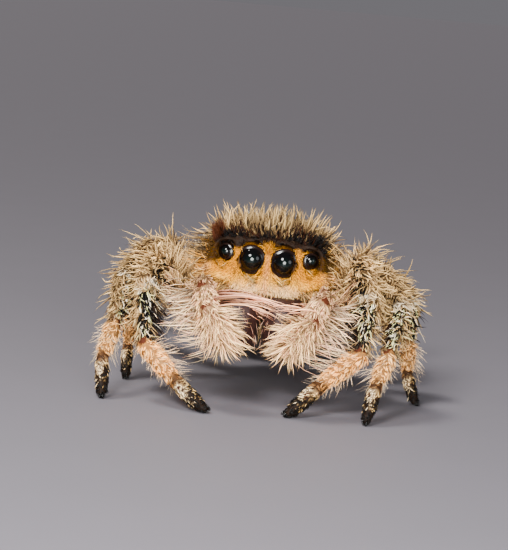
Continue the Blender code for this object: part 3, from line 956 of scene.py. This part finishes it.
tuftLook = {
    "rootDepth": 0.02,     # mm under the skin
    "swirl": 0.55,         # mm, size of a swirl of neighbours
    "alone": 0.6,          # a tuft's own turn against
    "together": 0.9,       # the turn of its swirl
    "headroom": (0.80, 1.04),  # shares of the way up to the solids' height, where tips end at most
    "shortest": 0.12,      # mm
    "eyeGap": 0.02,        # mm between a tuft and an eye
    "overEye": 0.012,      # mm from an eye, where a tuft counts as lying over it
    "cutTo": 0.35,         # share of such a tuft that is left
    "floorGap": 0.012,     # mm
    "toLeader": 8,         # tufts that gather to one of them
}


def growTufts(found, layer, rng, size):
    root, normal, lie = found["root"], found["normal"], found["lie"]
    count, steps = len(root), layer["steps"]
    arched = "arch" in layer
    if "aim" in layer:  # across towards the middle line, up and back
        inward, up, back = layer["aim"]
        across = -np.sign(headPlace(root)[0])[:, None] * headAcross * inward
        lie = blend(lie, unit(across + headUp * up + headBack * back), np.full(count, layer["aimShare"]))
    spread = rng.random(count)
    if not arched:
        lie = unit(lie - dot(lie, normal)[:, None] * normal)
    side = np.cross(headUp, lie) if arched else np.cross(normal, lie)
    together = ripple(root, tuftLook["swirl"], layer["long"])
    turn = tuftLook["alone"] * rng.normal(size=count) + tuftLook["together"] * together
    turn = np.radians(layer["wander"]) * turn
    sway = np.radians(layer["sway"]) * rng.normal(size=count) / steps
    length = layer["long"] * size * (1 + layer["vary"] * (2 * rng.random(count) - 1))
    lift = np.radians(layer["lift"]) * (1 + 0.25 * rng.normal(size=count))
    tip = np.radians(layer["tip"]) * (1 + 0.35 * rng.normal(size=count))
    level = math.radians(layer["lift"] + layer["tip"]) / 2
    climb = np.maximum(lie[:, 2] * math.cos(level) + normal[:, 2] * math.sin(level), 0.05)
    low, high = tuftLook["headroom"]
    headroom = (cadBox[1][2] / mm - root[:, 2]) * (low + (high - low) * rng.random(count))
    length = np.minimum(length, np.maximum(headroom / climb, tuftLook["shortest"]))
    points = [root - normal * tuftLook["rootDepth"]]
    for step in range(steps):
        share = (step + 0.5) / steps
        heading = turn + sway * step
        if arched:  # strands that leave the skin and arch over towards the aim
            rise = layer["arch"] * (0.75 + 0.5 * spread) * (1 - 1.9 * share)
            direction = unit(lie + side * np.sin(heading)[:, None] + headUp * rise[:, None])
        else:
            angle = np.clip(lift + (tip - lift) * share, min(0.05, math.radians(layer["tip"])), 1.55)
            along = lie * np.cos(heading)[:, None] + side * np.sin(heading)[:, None]
            direction = along * np.cos(angle)[:, None] + normal * np.sin(angle)[:, None]
        points.append(points[-1] + direction * (length / steps)[:, None])
    points = shortByEyes(lockTogether(np.stack(points, axis=1), layer["lock"], rng))
    points[:, 1:] = keptClear(points[:, 1:])
    width = layer["wide"] * (0.75 + 0.5 * rng.random(count)) * np.sqrt(size)
    return {"points": points, "normal": normal, "width": width, "chance": rng.random(count)}


def lockTogether(points, lock, rng):  # draws each tuft's tip towards a leader near its root
    if lock <= 0 or len(points) < 20:
        return points
    leaders = rng.choice(len(points), len(points) // tuftLook["toLeader"], replace=False)
    tree = KDTree(len(leaders))
    for i, leader in enumerate(leaders):
        tree.insert(points[leader, 0], i)
    tree.balance()
    nearest = leaders[[tree.find(root)[1] for root in points[:, 0].tolist()]]
    share = (np.linspace(0, 1, points.shape[1]) ** 1.5 * lock)[None, :, None]
    return points + share * (points[nearest] - points)


def shortByEyes(points):  # a tuft that would lie over an eye stays short
    for centre, radius in eyes.values():
        near = radius + tuftLook["overEye"]
        over = (np.linalg.norm(points[:, 1:] - centre, axis=2) < near).any(axis=1)
        points[over] = points[over, :1] + (points[over] - points[over, :1]) * tuftLook["cutTo"]
    return points


def keptClear(points):  # out of the eyes and above the floor
    rows = points.reshape(-1, 3)
    for centre, radius in eyes.values():
        away = rows - centre
        far = np.linalg.norm(away, axis=1)
        inside = far < radius + tuftLook["eyeGap"]
        rows[inside] = centre + away[inside] / far[inside, None] * (radius + tuftLook["eyeGap"])
    rows[:, 2] = np.maximum(rows[:, 2], tuftLook["floorGap"])
    return rows.reshape(points.shape)


bladeLook = {
    "sides": 3,
    "thickness": 0.45,     # against its width
    "patch": 0.003,        # of the OFBake map, for one tuft
}


def bladeArrays(tufts, places):
    points, normal, width = tufts["points"], tufts["normal"], tufts["width"]
    count, rings, sides = points.shape[0], points.shape[1] - 1, bladeLook["sides"]
    tangent = unit(np.gradient(points, axis=1))
    side = unit(np.cross(tangent, normal[:, None, :]))
    ridge = np.cross(side, tangent) * bladeLook["thickness"]
    shares = np.arange(rings) / rings
    taper = (1 - shares ** 1.6) * (0.7 + 0.3 * np.minimum(shares * 4, 1))
    corners = []
    for corner in range(sides):
        turn = math.radians(90 + 120 * corner)
        offset = side[:, :-1] * math.cos(turn) + ridge[:, :-1] * math.sin(turn)
        corners.append(points[:, :-1] + offset * (width[:, None] / 2 * taper)[:, :, None])
    body = np.stack(corners, axis=2).reshape(count, rings * sides, 3)
    vertices = np.concatenate((body, points[:, -1:]), axis=1)
    each = rings * sides + 1
    triangles, uv = [], []
    for ring in range(rings):
        v, vNext = ring / rings, (ring + 1) / rings
        for corner in range(sides):
            a, b = ring * sides + corner, ring * sides + (corner + 1) % sides
            u, uNext = corner / sides, (corner + 1) / sides
            if ring < rings - 1:
                c, d = b + sides, a + sides
                triangles += [(a, b, c), (a, c, d)]
                uv += [(u, v), (uNext, v), (uNext, vNext), (u, v), (uNext, vNext), (u, vNext)]
            else:
                triangles.append((a, b, each - 1))
                uv += [(u, v), (uNext, v), ((u + uNext) / 2, vNext)]
    triangles = np.array(triangles)[None] + (np.arange(count) * each)[:, None, None]
    patches = places[:, None, :] + (np.array(uv)[None] - 0.5) * bladeLook["patch"]
    along = np.tile(np.append(np.repeat(shares, sides), 1), count)
    return vertices.reshape(-1, 3), triangles.reshape(-1, 3), patches.reshape(-1, 2), along, each


def laidFlat(piece, points, bone):  # the skin under one piece of the coat, unrolled
    if piece.split("_coat")[0] in legs + palps:
        share, angle = bonePlace(points, bone)
        return np.stack((boneRows["before"][bone] + share * boneRows["length"][bone], angle / 60), axis=1)
    across, up, back = headPlace(points)
    if piece.startswith(("face", "jaw")):
        return np.stack((across, up - 0.6 * back), axis=1)
    if piece == "crown_coat":
        return np.stack((across, back - 0.6 * up), axis=1)
    abdomen = "abdomen" in piece
    low, high = boxOf("abdomen" if abdomen else "cephalothorax")
    away = points - (low + high) / 2
    turn = np.arctan2(away[:, 0], np.abs(away[:, 2]) + 0.2 if abdomen else away[:, 2])
    return np.stack((away[:, 1] - 0.5 * np.abs(turn), turn), axis=1)


def unwrapAt(piece, found, surface):  # each root's place on that unwrap, from 0 to 1
    own = surface["piece"] == piece
    whole = laidFlat(piece, surface["points"][own], surface["bone"][own])
    flat = laidFlat(piece, found["root"], found["bone"])
    low, high = whole.min(0), whole.max(0)
    margin = 0.01
    return margin + np.clip((flat - low) / (high - low), 0, 1) * (1 - 2 * margin)


def makeCoat(piece, layers, material, slot, seed, sizeAt, thin=None, surface=skinSurface):
    rng = np.random.default_rng(seed)
    parts, offset = [], 0
    for layer in layers:
        found = onlyWhere(scatter(surface, piece, layer["perMm2"], rng, thin), layer, rng)
        if len(found["root"]) == 0:
            continue
        tufts = growTufts(found, layer, rng, sizeAt(found))
        vertices, triangles, patches, along, each = bladeArrays(tufts, unwrapAt(piece, found, surface))
        colours = markingAt(found["root"], found["owner"], found["bone"], tufts["chance"])
        if "tint" in layer:
            name, share = layer["tint"]
            paleness = 1 if name in ("umber", "black") else ease(0.03, 0.15, colours.mean(1))
            colours = painted(colours, (name, share * paleness))
        parts.append((vertices, triangles + offset, patches, along,
                      np.repeat(tufts["chance"], each), np.repeat(colours, each, axis=0)))
        offset += len(vertices)
    vertices, triangles, patches, along, chance, colours = (np.concatenate(rows) for rows in zip(*parts))
    made = makeMesh(piece, vertices, triangles, material, slot,
                    {"marking": colours, "along": along, "chance": chance})
    made.data.uv_layers.new(name="OFBake").data.foreach_set("uv", patches.astype(np.float32).ravel())
    print(piece, len(triangles), "triangles")
    return len(triangles)


# The coats, each with its own layers
# perMm2: tufts to a square mm; long, wide: mm; lift, tip: degrees above the skin at root and tip;
# wander, sway: degrees sideways; lock: how far tips gather; steps: bends in a blade; vary: of the length;
# round: degrees round the limb and how far from there; near: an eye and mm from it; within: across, up and
# back from between the big eyes, lowest and highest; aim: towards the middle, up and back; aimShare: how
# far the lie turns to it; arch: how high strands rise; tint: a marking and its share

def layer(perMm2, long, wide, lift, tip, wander, lock, steps, vary=0.35, sway=25, **more):
    return {"perMm2": perMm2, "long": long, "wide": wide, "lift": lift, "tip": tip, "wander": wander,
            "lock": lock, "steps": steps, "vary": vary, "sway": sway, **more}


faceCoat = {
    "layers": (
        layer(820, 0.19, 0.042, 26, 8, 16, 0.25, 2),
        layer(36, 0.32, 0.034, 42, 14, 22, 0.2, 3),
        layer(160, 0.46, 0.040, 16, 2, 18, 0.4, 3, tint=("rose", 0.4),
              within=((-1.6, 1.6), (-1.4, -0.9), (-1, 1))),
        layer(420, 0.34, 0.052, 52, 30, 20, 0.5, 3, within=((-0.20, 0.20), (0.20, 0.60), (-1, 1)),
              aim=(0, 1, 0.2), aimShare=0.9, tint=("chestnut", 0.45)),
    ),
    "seed": 11,
}
crownCoat = {
    "layers": (
        layer(190, 0.38, 0.072, 48, 30, 34, 0.7, 3),
        layer(20, 0.68, 0.094, 66, 50, 36, 0.1, 4, vary=0.4, sway=85),
        layer(12, 0.88, 0.100, 72, 52, 36, 0.0, 5, vary=0.25, sway=95, tint=("sand", 0.25)),
        layer(50, 0.95, 0.062, 52, 36, 36, 0.4, 4, sway=70, within=((-9, 9), (-0.6, 0.5), (0.8, 3.2)),
              tint=("shade", 0.3)),
        layer(120, 0.58, 0.060, 78, 66, 24, 0.6, 3, near=("small", 0.26), tint=("umber", 0.9)),
        # Pointed tufts over the outer front eyes, the dark one on its right
        layer(420, 1.55, 0.080, 42, 36, 10, 0.7, 4, within=((-1.70, -1.48), (0.34, 0.60), (-9, 0.9)),
              vary=0.25, aim=(-0.45, 1.0, -0.1), aimShare=1.0, tint=("umber", 1.0)),
        layer(120, 1.40, 0.090, 44, 34, 20, 0.5, 4, within=((1.20, 1.80), (0.50, 0.90), (-9, 0.9)), vary=0.3,
              aim=(-0.35, 1.0, -0.1), aimShare=1.0, tint=("sand", 0.6)),
    ),
    "seed": 12,
}
cheekCoat = {
    "layers": (
        layer(215, 0.48, 0.063, 38, 16, 34, 0.75, 3),
        layer(40, 0.76, 0.060, 58, 30, 40, 0.3, 3, sway=60, tint=("sand", 0.4)),
        layer(104, 1.20, 0.060, 60, 42, 40, 0.4, 4, sway=70, within=((-9, 9), (-1.2, 0.8), (0.4, 3.2)),
              tint=("shade", 0.25)),
    ),
    "seed": 13,
}
thoraxCoat = {
    "layers": (
        layer(190, 0.48, 0.066, 34, 16, 26, 0.7, 2),
        layer(12, 0.75, 0.070, 56, 40, 32, 0.1, 3, sway=50, tint=("sand", 0.35)),
    ),
    "seed": 14,
}
abdomenCoat = {
    "layers": (
        layer(180, 0.50, 0.068, 32, 16, 24, 0.7, 2),
        layer(9, 0.80, 0.056, 50, 36, 30, 0.1, 3, sway=40, tint=("sand", 0.35)),
    ),
    "seed": 15,
}
frontLegs = ("leg1_right", "leg1_left")
longBones = ("femur", "patella", "tibia")
legCoat = {
    "layers": (
        layer(190, 0.44, 0.088, 28, 10, 30, 0.7, 3, sway=45),
        layer(36, 0.68, 0.084, 56, 34, 32, 0.15, 3, bones=longBones, vary=0.4, sway=65, tint=("sand", 0.3)),
        layer(10, 0.95, 0.074, 66, 40, 30, 0.0, 4, bones=longBones, vary=0.25, sway=65, tint=("sand", 0.3)),
        layer(260, 0.36, 0.060, 34, 12, 26, 0.3, 2, bones=("tarsus",)),
        layer(190, 0.26, 0.096, 30, 8, 30, 0.0, 2, bones=("tibia",), round=(80, 75), vary=0.2),
        layer(170, 0.85, 0.062, 56, 40, 26, 0.45, 3, bones=("tibia",), round=(160, 70), limbs=frontLegs),
        layer(80, 0.95, 0.056, 56, 40, 30, 0.4, 3, bones=("femur", "patella"), round=(170, 90),
              limbs=frontLegs, tint=("rose", 0.25)),
        layer(58, 1.10, 0.062, 62, 44, 34, 0.2, 4, bones=("femur",), round=(0, 100), limbs=frontLegs,
              sway=60, aim=(0.8, 0.5, 0.0), aimShare=0.5),
        layer(70, 1.20, 0.036, 60, 46, 20, 0.0, 3, bones=("metatarsus",), round=(180, 90),
              tint=("white", 0.5)),
        layer(50, 0.70, 0.032, 54, 44, 24, 0.0, 3, bones=("metatarsus",), tint=("white", 0.5)),
    ),
    "size": {"femur": 1.0, "patella": 0.95, "tibia": 0.86, "metatarsus": 0.52, "tarsus": 0.36},
    "seed": 20,
}
palpCoat = {
    "layers": (
        layer(300, 0.26, 0.050, 32, 14, 24, 0.5, 3),
        layer(110, 0.66, 0.058, 64, 50, 24, 0.35, 3, bones=("tarsus",), sway=40, tint=("cream", 0.4)),
        layer(40, 0.55, 0.054, 54, 30, 26, 0.3, 3, bones=("femur", "tibia"), round=(-60, 100), sway=45),
        layer(80, 1.30, 0.056, 50, 28, 15, 0.4, 4, bones=("femur", "tibia", "tarsus"), round=(-80, 60),
              aim=(-0.95, -0.20, 0.0), aimShare=0.85, tint=("white", 0.2)),
        layer(54, 2.45, 0.090, 34, 0, 13, 0.0, 6, bones=("femur", "tibia"), round=(60, 100), sway=14,
              vary=0.2, within=((-9, 0), (-2.3, -1.1), (-9, 9)), aim=(1.0, -0.04, -0.22), aimShare=1.0,
              arch=0.46, tint=("rose", 0.55)),
        layer(22, 1.10, 0.084, 34, 0, 16, 0.0, 5, bones=("femur", "tibia"), round=(60, 100), sway=16,
              vary=0.3, within=((0, 9), (-2.3, -1.1), (-9, 9)), aim=(1.0, 0.0, -0.24), aimShare=1.0,
              arch=0.40, tint=("rose", 0.55)),
        layer(40, 0.95, 0.060, 50, 20, 14, 0.3, 4, bones=("tarsus",), round=(60, 60),
              aim=(0.9, -0.3, 0.0), aimShare=0.8, tint=("cream", 0.5)),
    ),
    "size": {"femur": 0.9, "tibia": 1.0, "tarsus": 0.95},
    "seed": 40,
}
jawCoat = {
    "layers": (
        layer(18, 0.34, 0.032, 26, 8, 20, 0.0, 3, aim=(0.3, -0.9, 0.0), aimShare=0.5, tint=("umber", 0.5)),
    ),
    "seed": 50,
}


def inBand(points):  # 1 on the dark band above the eyes
    across, up, back = headPlace(points)
    band = ease(0.28, 0.40, up) * ease(0.77, 0.68, up) * ease(1.25, 0.8, back)
    return band * ease(2.5, 2.1, np.abs(across))


sizeLook = {"byEye": 0.6, "inBand": 0.5}


def headSize(found):  # short close to the eyes and in the dark band
    clear = ease(0.05, 0.6, eyeGap(found["root"]))
    size = sizeLook["byEye"] + (1 - sizeLook["byEye"]) * clear
    return size * (1 - sizeLook["inBand"] * inBand(found["root"]))


def fullSize(found):
    return np.ones(len(found["root"]))


def boneSize(coat):
    sizes = np.array([coat["size"].get(bone["bone"], 1) for bone in bones])

    def sizeAt(found):
        own = found["bone"]
        share, _ = bonePlace(found["root"], own)
        here = sizes[own]
        after = np.minimum(sizes[np.minimum(own + 1, len(bones) - 1)], here)
        return here + (after - here) * ease(0.5, 1, share) * (boneKind[own] != "tarsus")

    return sizeAt


def offEyes(points, bone):  # none in an eye, and more close round it
    gap = eyeGap(points)
    return (gap > 0.012) * (1 + 0.8 * ease(0.3, 0.05, gap)) * (1 + 1.4 * inBand(points))


def makeCoats():
    names = ("greyCoat", "crestCoat", "faceCoat", "creamCoat")
    grey, crest, face, cream = (coatMaterials[name] for name in names)
    coats = [("face_coat", faceCoat, 0, face, headSize, offEyes),
             ("crown_coat", crownCoat, 0, crest, headSize, offEyes),
             ("cheek_coat", cheekCoat, 0, grey, headSize, offEyes),
             ("thorax_coat", thoraxCoat, 0, grey, fullSize),
             ("abdomen_back_coat", abdomenCoat, 0, grey, fullSize),
             ("abdomen_belly_coat", abdomenCoat, 1, grey, fullSize)]
    for i, leg in enumerate(legs):
        coats.append((leg + "_coat", legCoat, i, grey, boneSize(legCoat), offKnuckles))
    for i, palp in enumerate(palps):
        coats.append((palp + "_coat", palpCoat, i, cream, boneSize(palpCoat), offPalpKnees))
    for i, side in enumerate(sideSigns):
        coats.append((f"jaw_{side}_coat", jawCoat, i, cream, fullSize, None, jawSurface(side)))
    total = 0
    for piece, coat, number, finish, *rest in coats:
        slot = "cream_coat" if finish is cream else "grey_coat"
        total += makeCoat(piece, coat["layers"], finish, slot, coat["seed"] + number, *rest)
    print("coat:", total, "triangles")


makeCoats()


# Eyes

eyeLook = {
    "rings": 30,
    "sides": 48,
    "reach": 118,          # degrees from the middle of the lens to where it goes into the head
    "collar": 0.065,       # mm, thickness of the rim
    "seat": 0.62,          # of the way round, where the rim stands
    "dark": (0.0010, 0.0008, 0.0009, 1),
    "rim": (0.010, 0.0035, 0.0022, 1),
    # a painted reflection: faint teal in the middle of the lens, as if light shone back from deep in the eye
    "deep": (0.0010, 0.0042, 0.0034, 1),
    # where each looks: outward, up and back
    "aim": {"front_middle": (0.06, 0.02, -1), "front_side": (0.42, 0.10, -1), "small": (0.9, 0.5, -0.6),
            "rear": (1, 0.6, 0.1)},
}


def makeEyeMaterial():
    material, tree, shader = newMaterial("eyeBlack", Specular_IOR_Level=0.3, IOR=1.5)
    rim = attributeNode(tree, "rim")
    # Painted reflection: the middle of the lens turns dark teal
    dark = mixNode(tree, attributeNode(tree, "middle"), eyeLook["dark"], eyeLook["deep"])
    colour = mixNode(tree, rim, dark, eyeLook["rim"])
    grain = placeGroup(tree, fineGrain, Colour=colour, Size=14000.0, Contrast=0.5)
    height = sumNode(tree, "MULTIPLY", grain["Height"], rim)
    finishWith(tree, shader, grain["Colour"], (rim, 0.3, 0.05), height, 0.25, 0.00001)
    return material


eyeMaterial = makeEyeMaterial()


def makeEye(name, side):
    centre, radius = eyes[name, side]
    outward, up, back = eyeLook["aim"][name]
    facing = unit(headAcross * outward * sideSigns[side] + headUp * up + headBack * back)
    first = unit(np.cross(facing, headUp))
    second = np.cross(facing, first)
    reach = math.radians(eyeLook["reach"])
    polar = np.linspace(0, reach, eyeLook["rings"])
    collar = eyeLook["collar"] * min(radius / 0.3, 1.2)
    bulge = hump(polar / reach, eyeLook["seat"], 0.16) * collar
    profile = np.stack((np.sin(polar), np.cos(polar)), axis=1) * (radius + bulge)[:, None]
    sides = eyeLook["sides"]
    turns = np.linspace(0, 2 * math.pi, sides, endpoint=False)
    points = [centre + facing * profile[0, 1]]
    for out, forward in profile[1:]:
        points += [centre + facing * forward + (first * math.cos(turn) + second * math.sin(turn)) * out
                   for turn in turns]
    faces = []
    for i in range(sides):
        j = (i + 1) % sides
        faces.append((0, 1 + i, 1 + j))
        for ring in range(eyeLook["rings"] - 2):
            a, b = 1 + ring * sides + i, 1 + ring * sides + j
            faces += [(a, a + sides, b + sides), (a, b + sides, b)]
    masks = {"rim": bulge / collar, "middle": 1 - ease(0.0, 0.7, polar)}
    masks = {key: np.append(mask[:1], np.repeat(mask[1:], sides)) for key, mask in masks.items()}
    piece = makeMesh(f"lens_{name}_{side}", points, faces, eyeMaterial, "eye_black", masks)
    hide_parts(f"eye_{name}_{side}")


for name, side in eyes:
    makeEye(name, side)
print("eyes made")


# Claws

clawLook = {
    "long": 0.17,          # mm
    "thick": 0.032,
    "apart": 0.055,
    "above": 0.11,         # the foot's end
    "curl": 75,            # degrees
    "rings": 7,
    "sides": 8,
}


def hookArrays(root, forward, down):
    rings, sides = clawLook["rings"], clawLook["sides"]
    side = np.cross(forward, down)
    points, faces = [], []
    here = root
    for ring in range(rings):
        share = ring / (rings - 1)
        angle = math.radians(clawLook["curl"]) * share
        direction = forward * math.cos(angle) + down * math.sin(angle)
        up = np.cross(direction, side)
        for corner in range(sides):
            turn = 2 * math.pi * corner / sides
            out = side * math.cos(turn) + up * math.sin(turn)
            points.append(here + out * clawLook["thick"] * (1.02 - share))
        here = here + direction * clawLook["long"] / (rings - 1)
    for ring in range(rings - 1):
        for corner in range(sides):
            a, b = ring * sides + corner, ring * sides + (corner + 1) % sides
            faces.append((a, b, b + sides, a + sides))
    return np.array(points), faces


def makeClaws():
    hooks = []
    for bone in bones:
        if bone["bone"] == "tarsus" and bone["limb"] in legs:
            forward = unit(bone["axis"] * np.array((1, 1, 0.25)))
            down = unit(np.array((0, 0, -1)) + forward * forward[2])
            for step in (-1, 1):
                root = bone["end"] + bone["front"] * clawLook["apart"] * step
                hooks.append(hookArrays(root + np.array((0, 0, clawLook["above"])), forward, down))
    points, faces = joined(hooks)
    points[:, 2] = np.maximum(points[:, 2], 0.01)
    makeMesh("claws", points, faces, eyeMaterial, "eye_black")


makeClaws()
print("claws made")


# Camera, light and floor

cameraLook = {
    "elevation": 8.0,      # degrees above the floor's level
    "roll": 5.0,           # degrees
    "distance": 60.0,      # mm
    "lens": 140.3,         # mm, on a 36 mm wide sensor
    "leftOfFrame": 0.424,  # mm, from the view's middle to the middle of the big eyes
    "aboveFrame": 0.424,
}


def cameraAxes():
    tilt, roll = math.radians(cameraLook["elevation"]), math.radians(cameraLook["roll"])
    forward = np.array((0, math.cos(tilt), -math.sin(tilt)))
    right = np.array((1, 0, 0))
    up = np.cross(right, forward)
    rolledRight = right * math.cos(roll) + up * math.sin(roll)
    rolledUp = -right * math.sin(roll) + up * math.cos(roll)
    return rolledRight, rolledUp, forward


def makeCamera():
    right, up, forward = cameraAxes()
    target = faceMiddle - right * cameraLook["leftOfFrame"] - up * cameraLook["aboveFrame"]
    data = bpy.data.cameras.new("camera")
    data.lens = cameraLook["lens"]
    data.sensor_width = 36
    data.sensor_fit = "HORIZONTAL"
    data.clip_start = 0.001
    turned = Matrix((right, up, -forward)).transposed().to_4x4()
    turned.translation = Vector((target - forward * cameraLook["distance"]) * mm)
    camera = newObject("camera", data)
    camera.matrix_world = turned
    bpy.context.scene.camera = camera


makeCamera()

lightLook = {
    # from: across, back and up from the spider's face; spread: degrees; strength: watts to a square metre
    "key": {"from": (-0.38, 0.22, 0.90), "spread": 14.0, "strength": 3.7, "colour": (1.0, 0.97, 0.92)},
    # place: mm across, back and up from the face; size: mm; power: watts
    "high": {"place": (-16, -36, 32), "size": 17.0, "power": 0.050, "colour": (1.0, 0.98, 0.94)},
    "front": {"place": (2, -50, 6), "size": 24.0, "power": 0.062, "colour": (0.97, 1.0, 0.95)},
    "fill": {"place": (46, -34, 14), "size": 30.0, "power": 0.010, "colour": (0.92, 0.96, 1.0)},
    "sky": {"strength": 0.20, "colour": (0.86, 0.83, 0.90, 1)},
}


def aimedLight(name, kind, away, colour):
    data = bpy.data.lights.new(name, kind)
    data.color = colour
    light = newObject(name, data)
    light.location = Vector((faceMiddle + away) * mm)
    light.rotation_euler = Vector(-away).to_track_quat("-Z", "Y").to_euler()
    return data


def makeLights():
    key, sky = lightLook["key"], lightLook["sky"]
    sun = aimedLight("key", "SUN", np.array(key["from"]) * 60, key["colour"])
    sun.angle = math.radians(key["spread"])
    sun.energy = key["strength"]
    for name in ("high", "front", "fill"):
        look = lightLook[name]
        area = aimedLight(name, "AREA", np.array(look["place"]), look["colour"])
        area.shape = "DISK"
        area.size = look["size"] * mm
        area.energy = look["power"]
    world = bpy.data.worlds.new("studio")
    world.use_nodes = True
    background = world.node_tree.nodes["Background"]
    background.inputs["Color"].default_value = sky["colour"]
    background.inputs["Strength"].default_value = sky["strength"]
    bpy.context.scene.world = world


makeLights()

floorLook = {"reach": 3000.0, "colour": (0.106, 0.098, 0.116, 1)}


def makeFloor():
    reach = floorLook["reach"] * mm
    material, tree, shader = newMaterial("paleFloor", Roughness=0.6)
    grain = placeGroup(tree, fineGrain, Colour=floorLook["colour"], Size=400.0, Contrast=0.06)
    feed(tree, shader.inputs["Base Color"], grain["Colour"])
    mesh = bpy.data.meshes.new("floor")
    corners = [(-reach, -reach, 0), (reach, -reach, 0), (reach, reach, 0), (-reach, reach, 0)]
    mesh.from_pydata(corners, [], [(0, 1, 2, 3)])
    mesh.materials.append(material)
    newObject("floor", mesh)


makeFloor()
print("camera, lights and floor made")
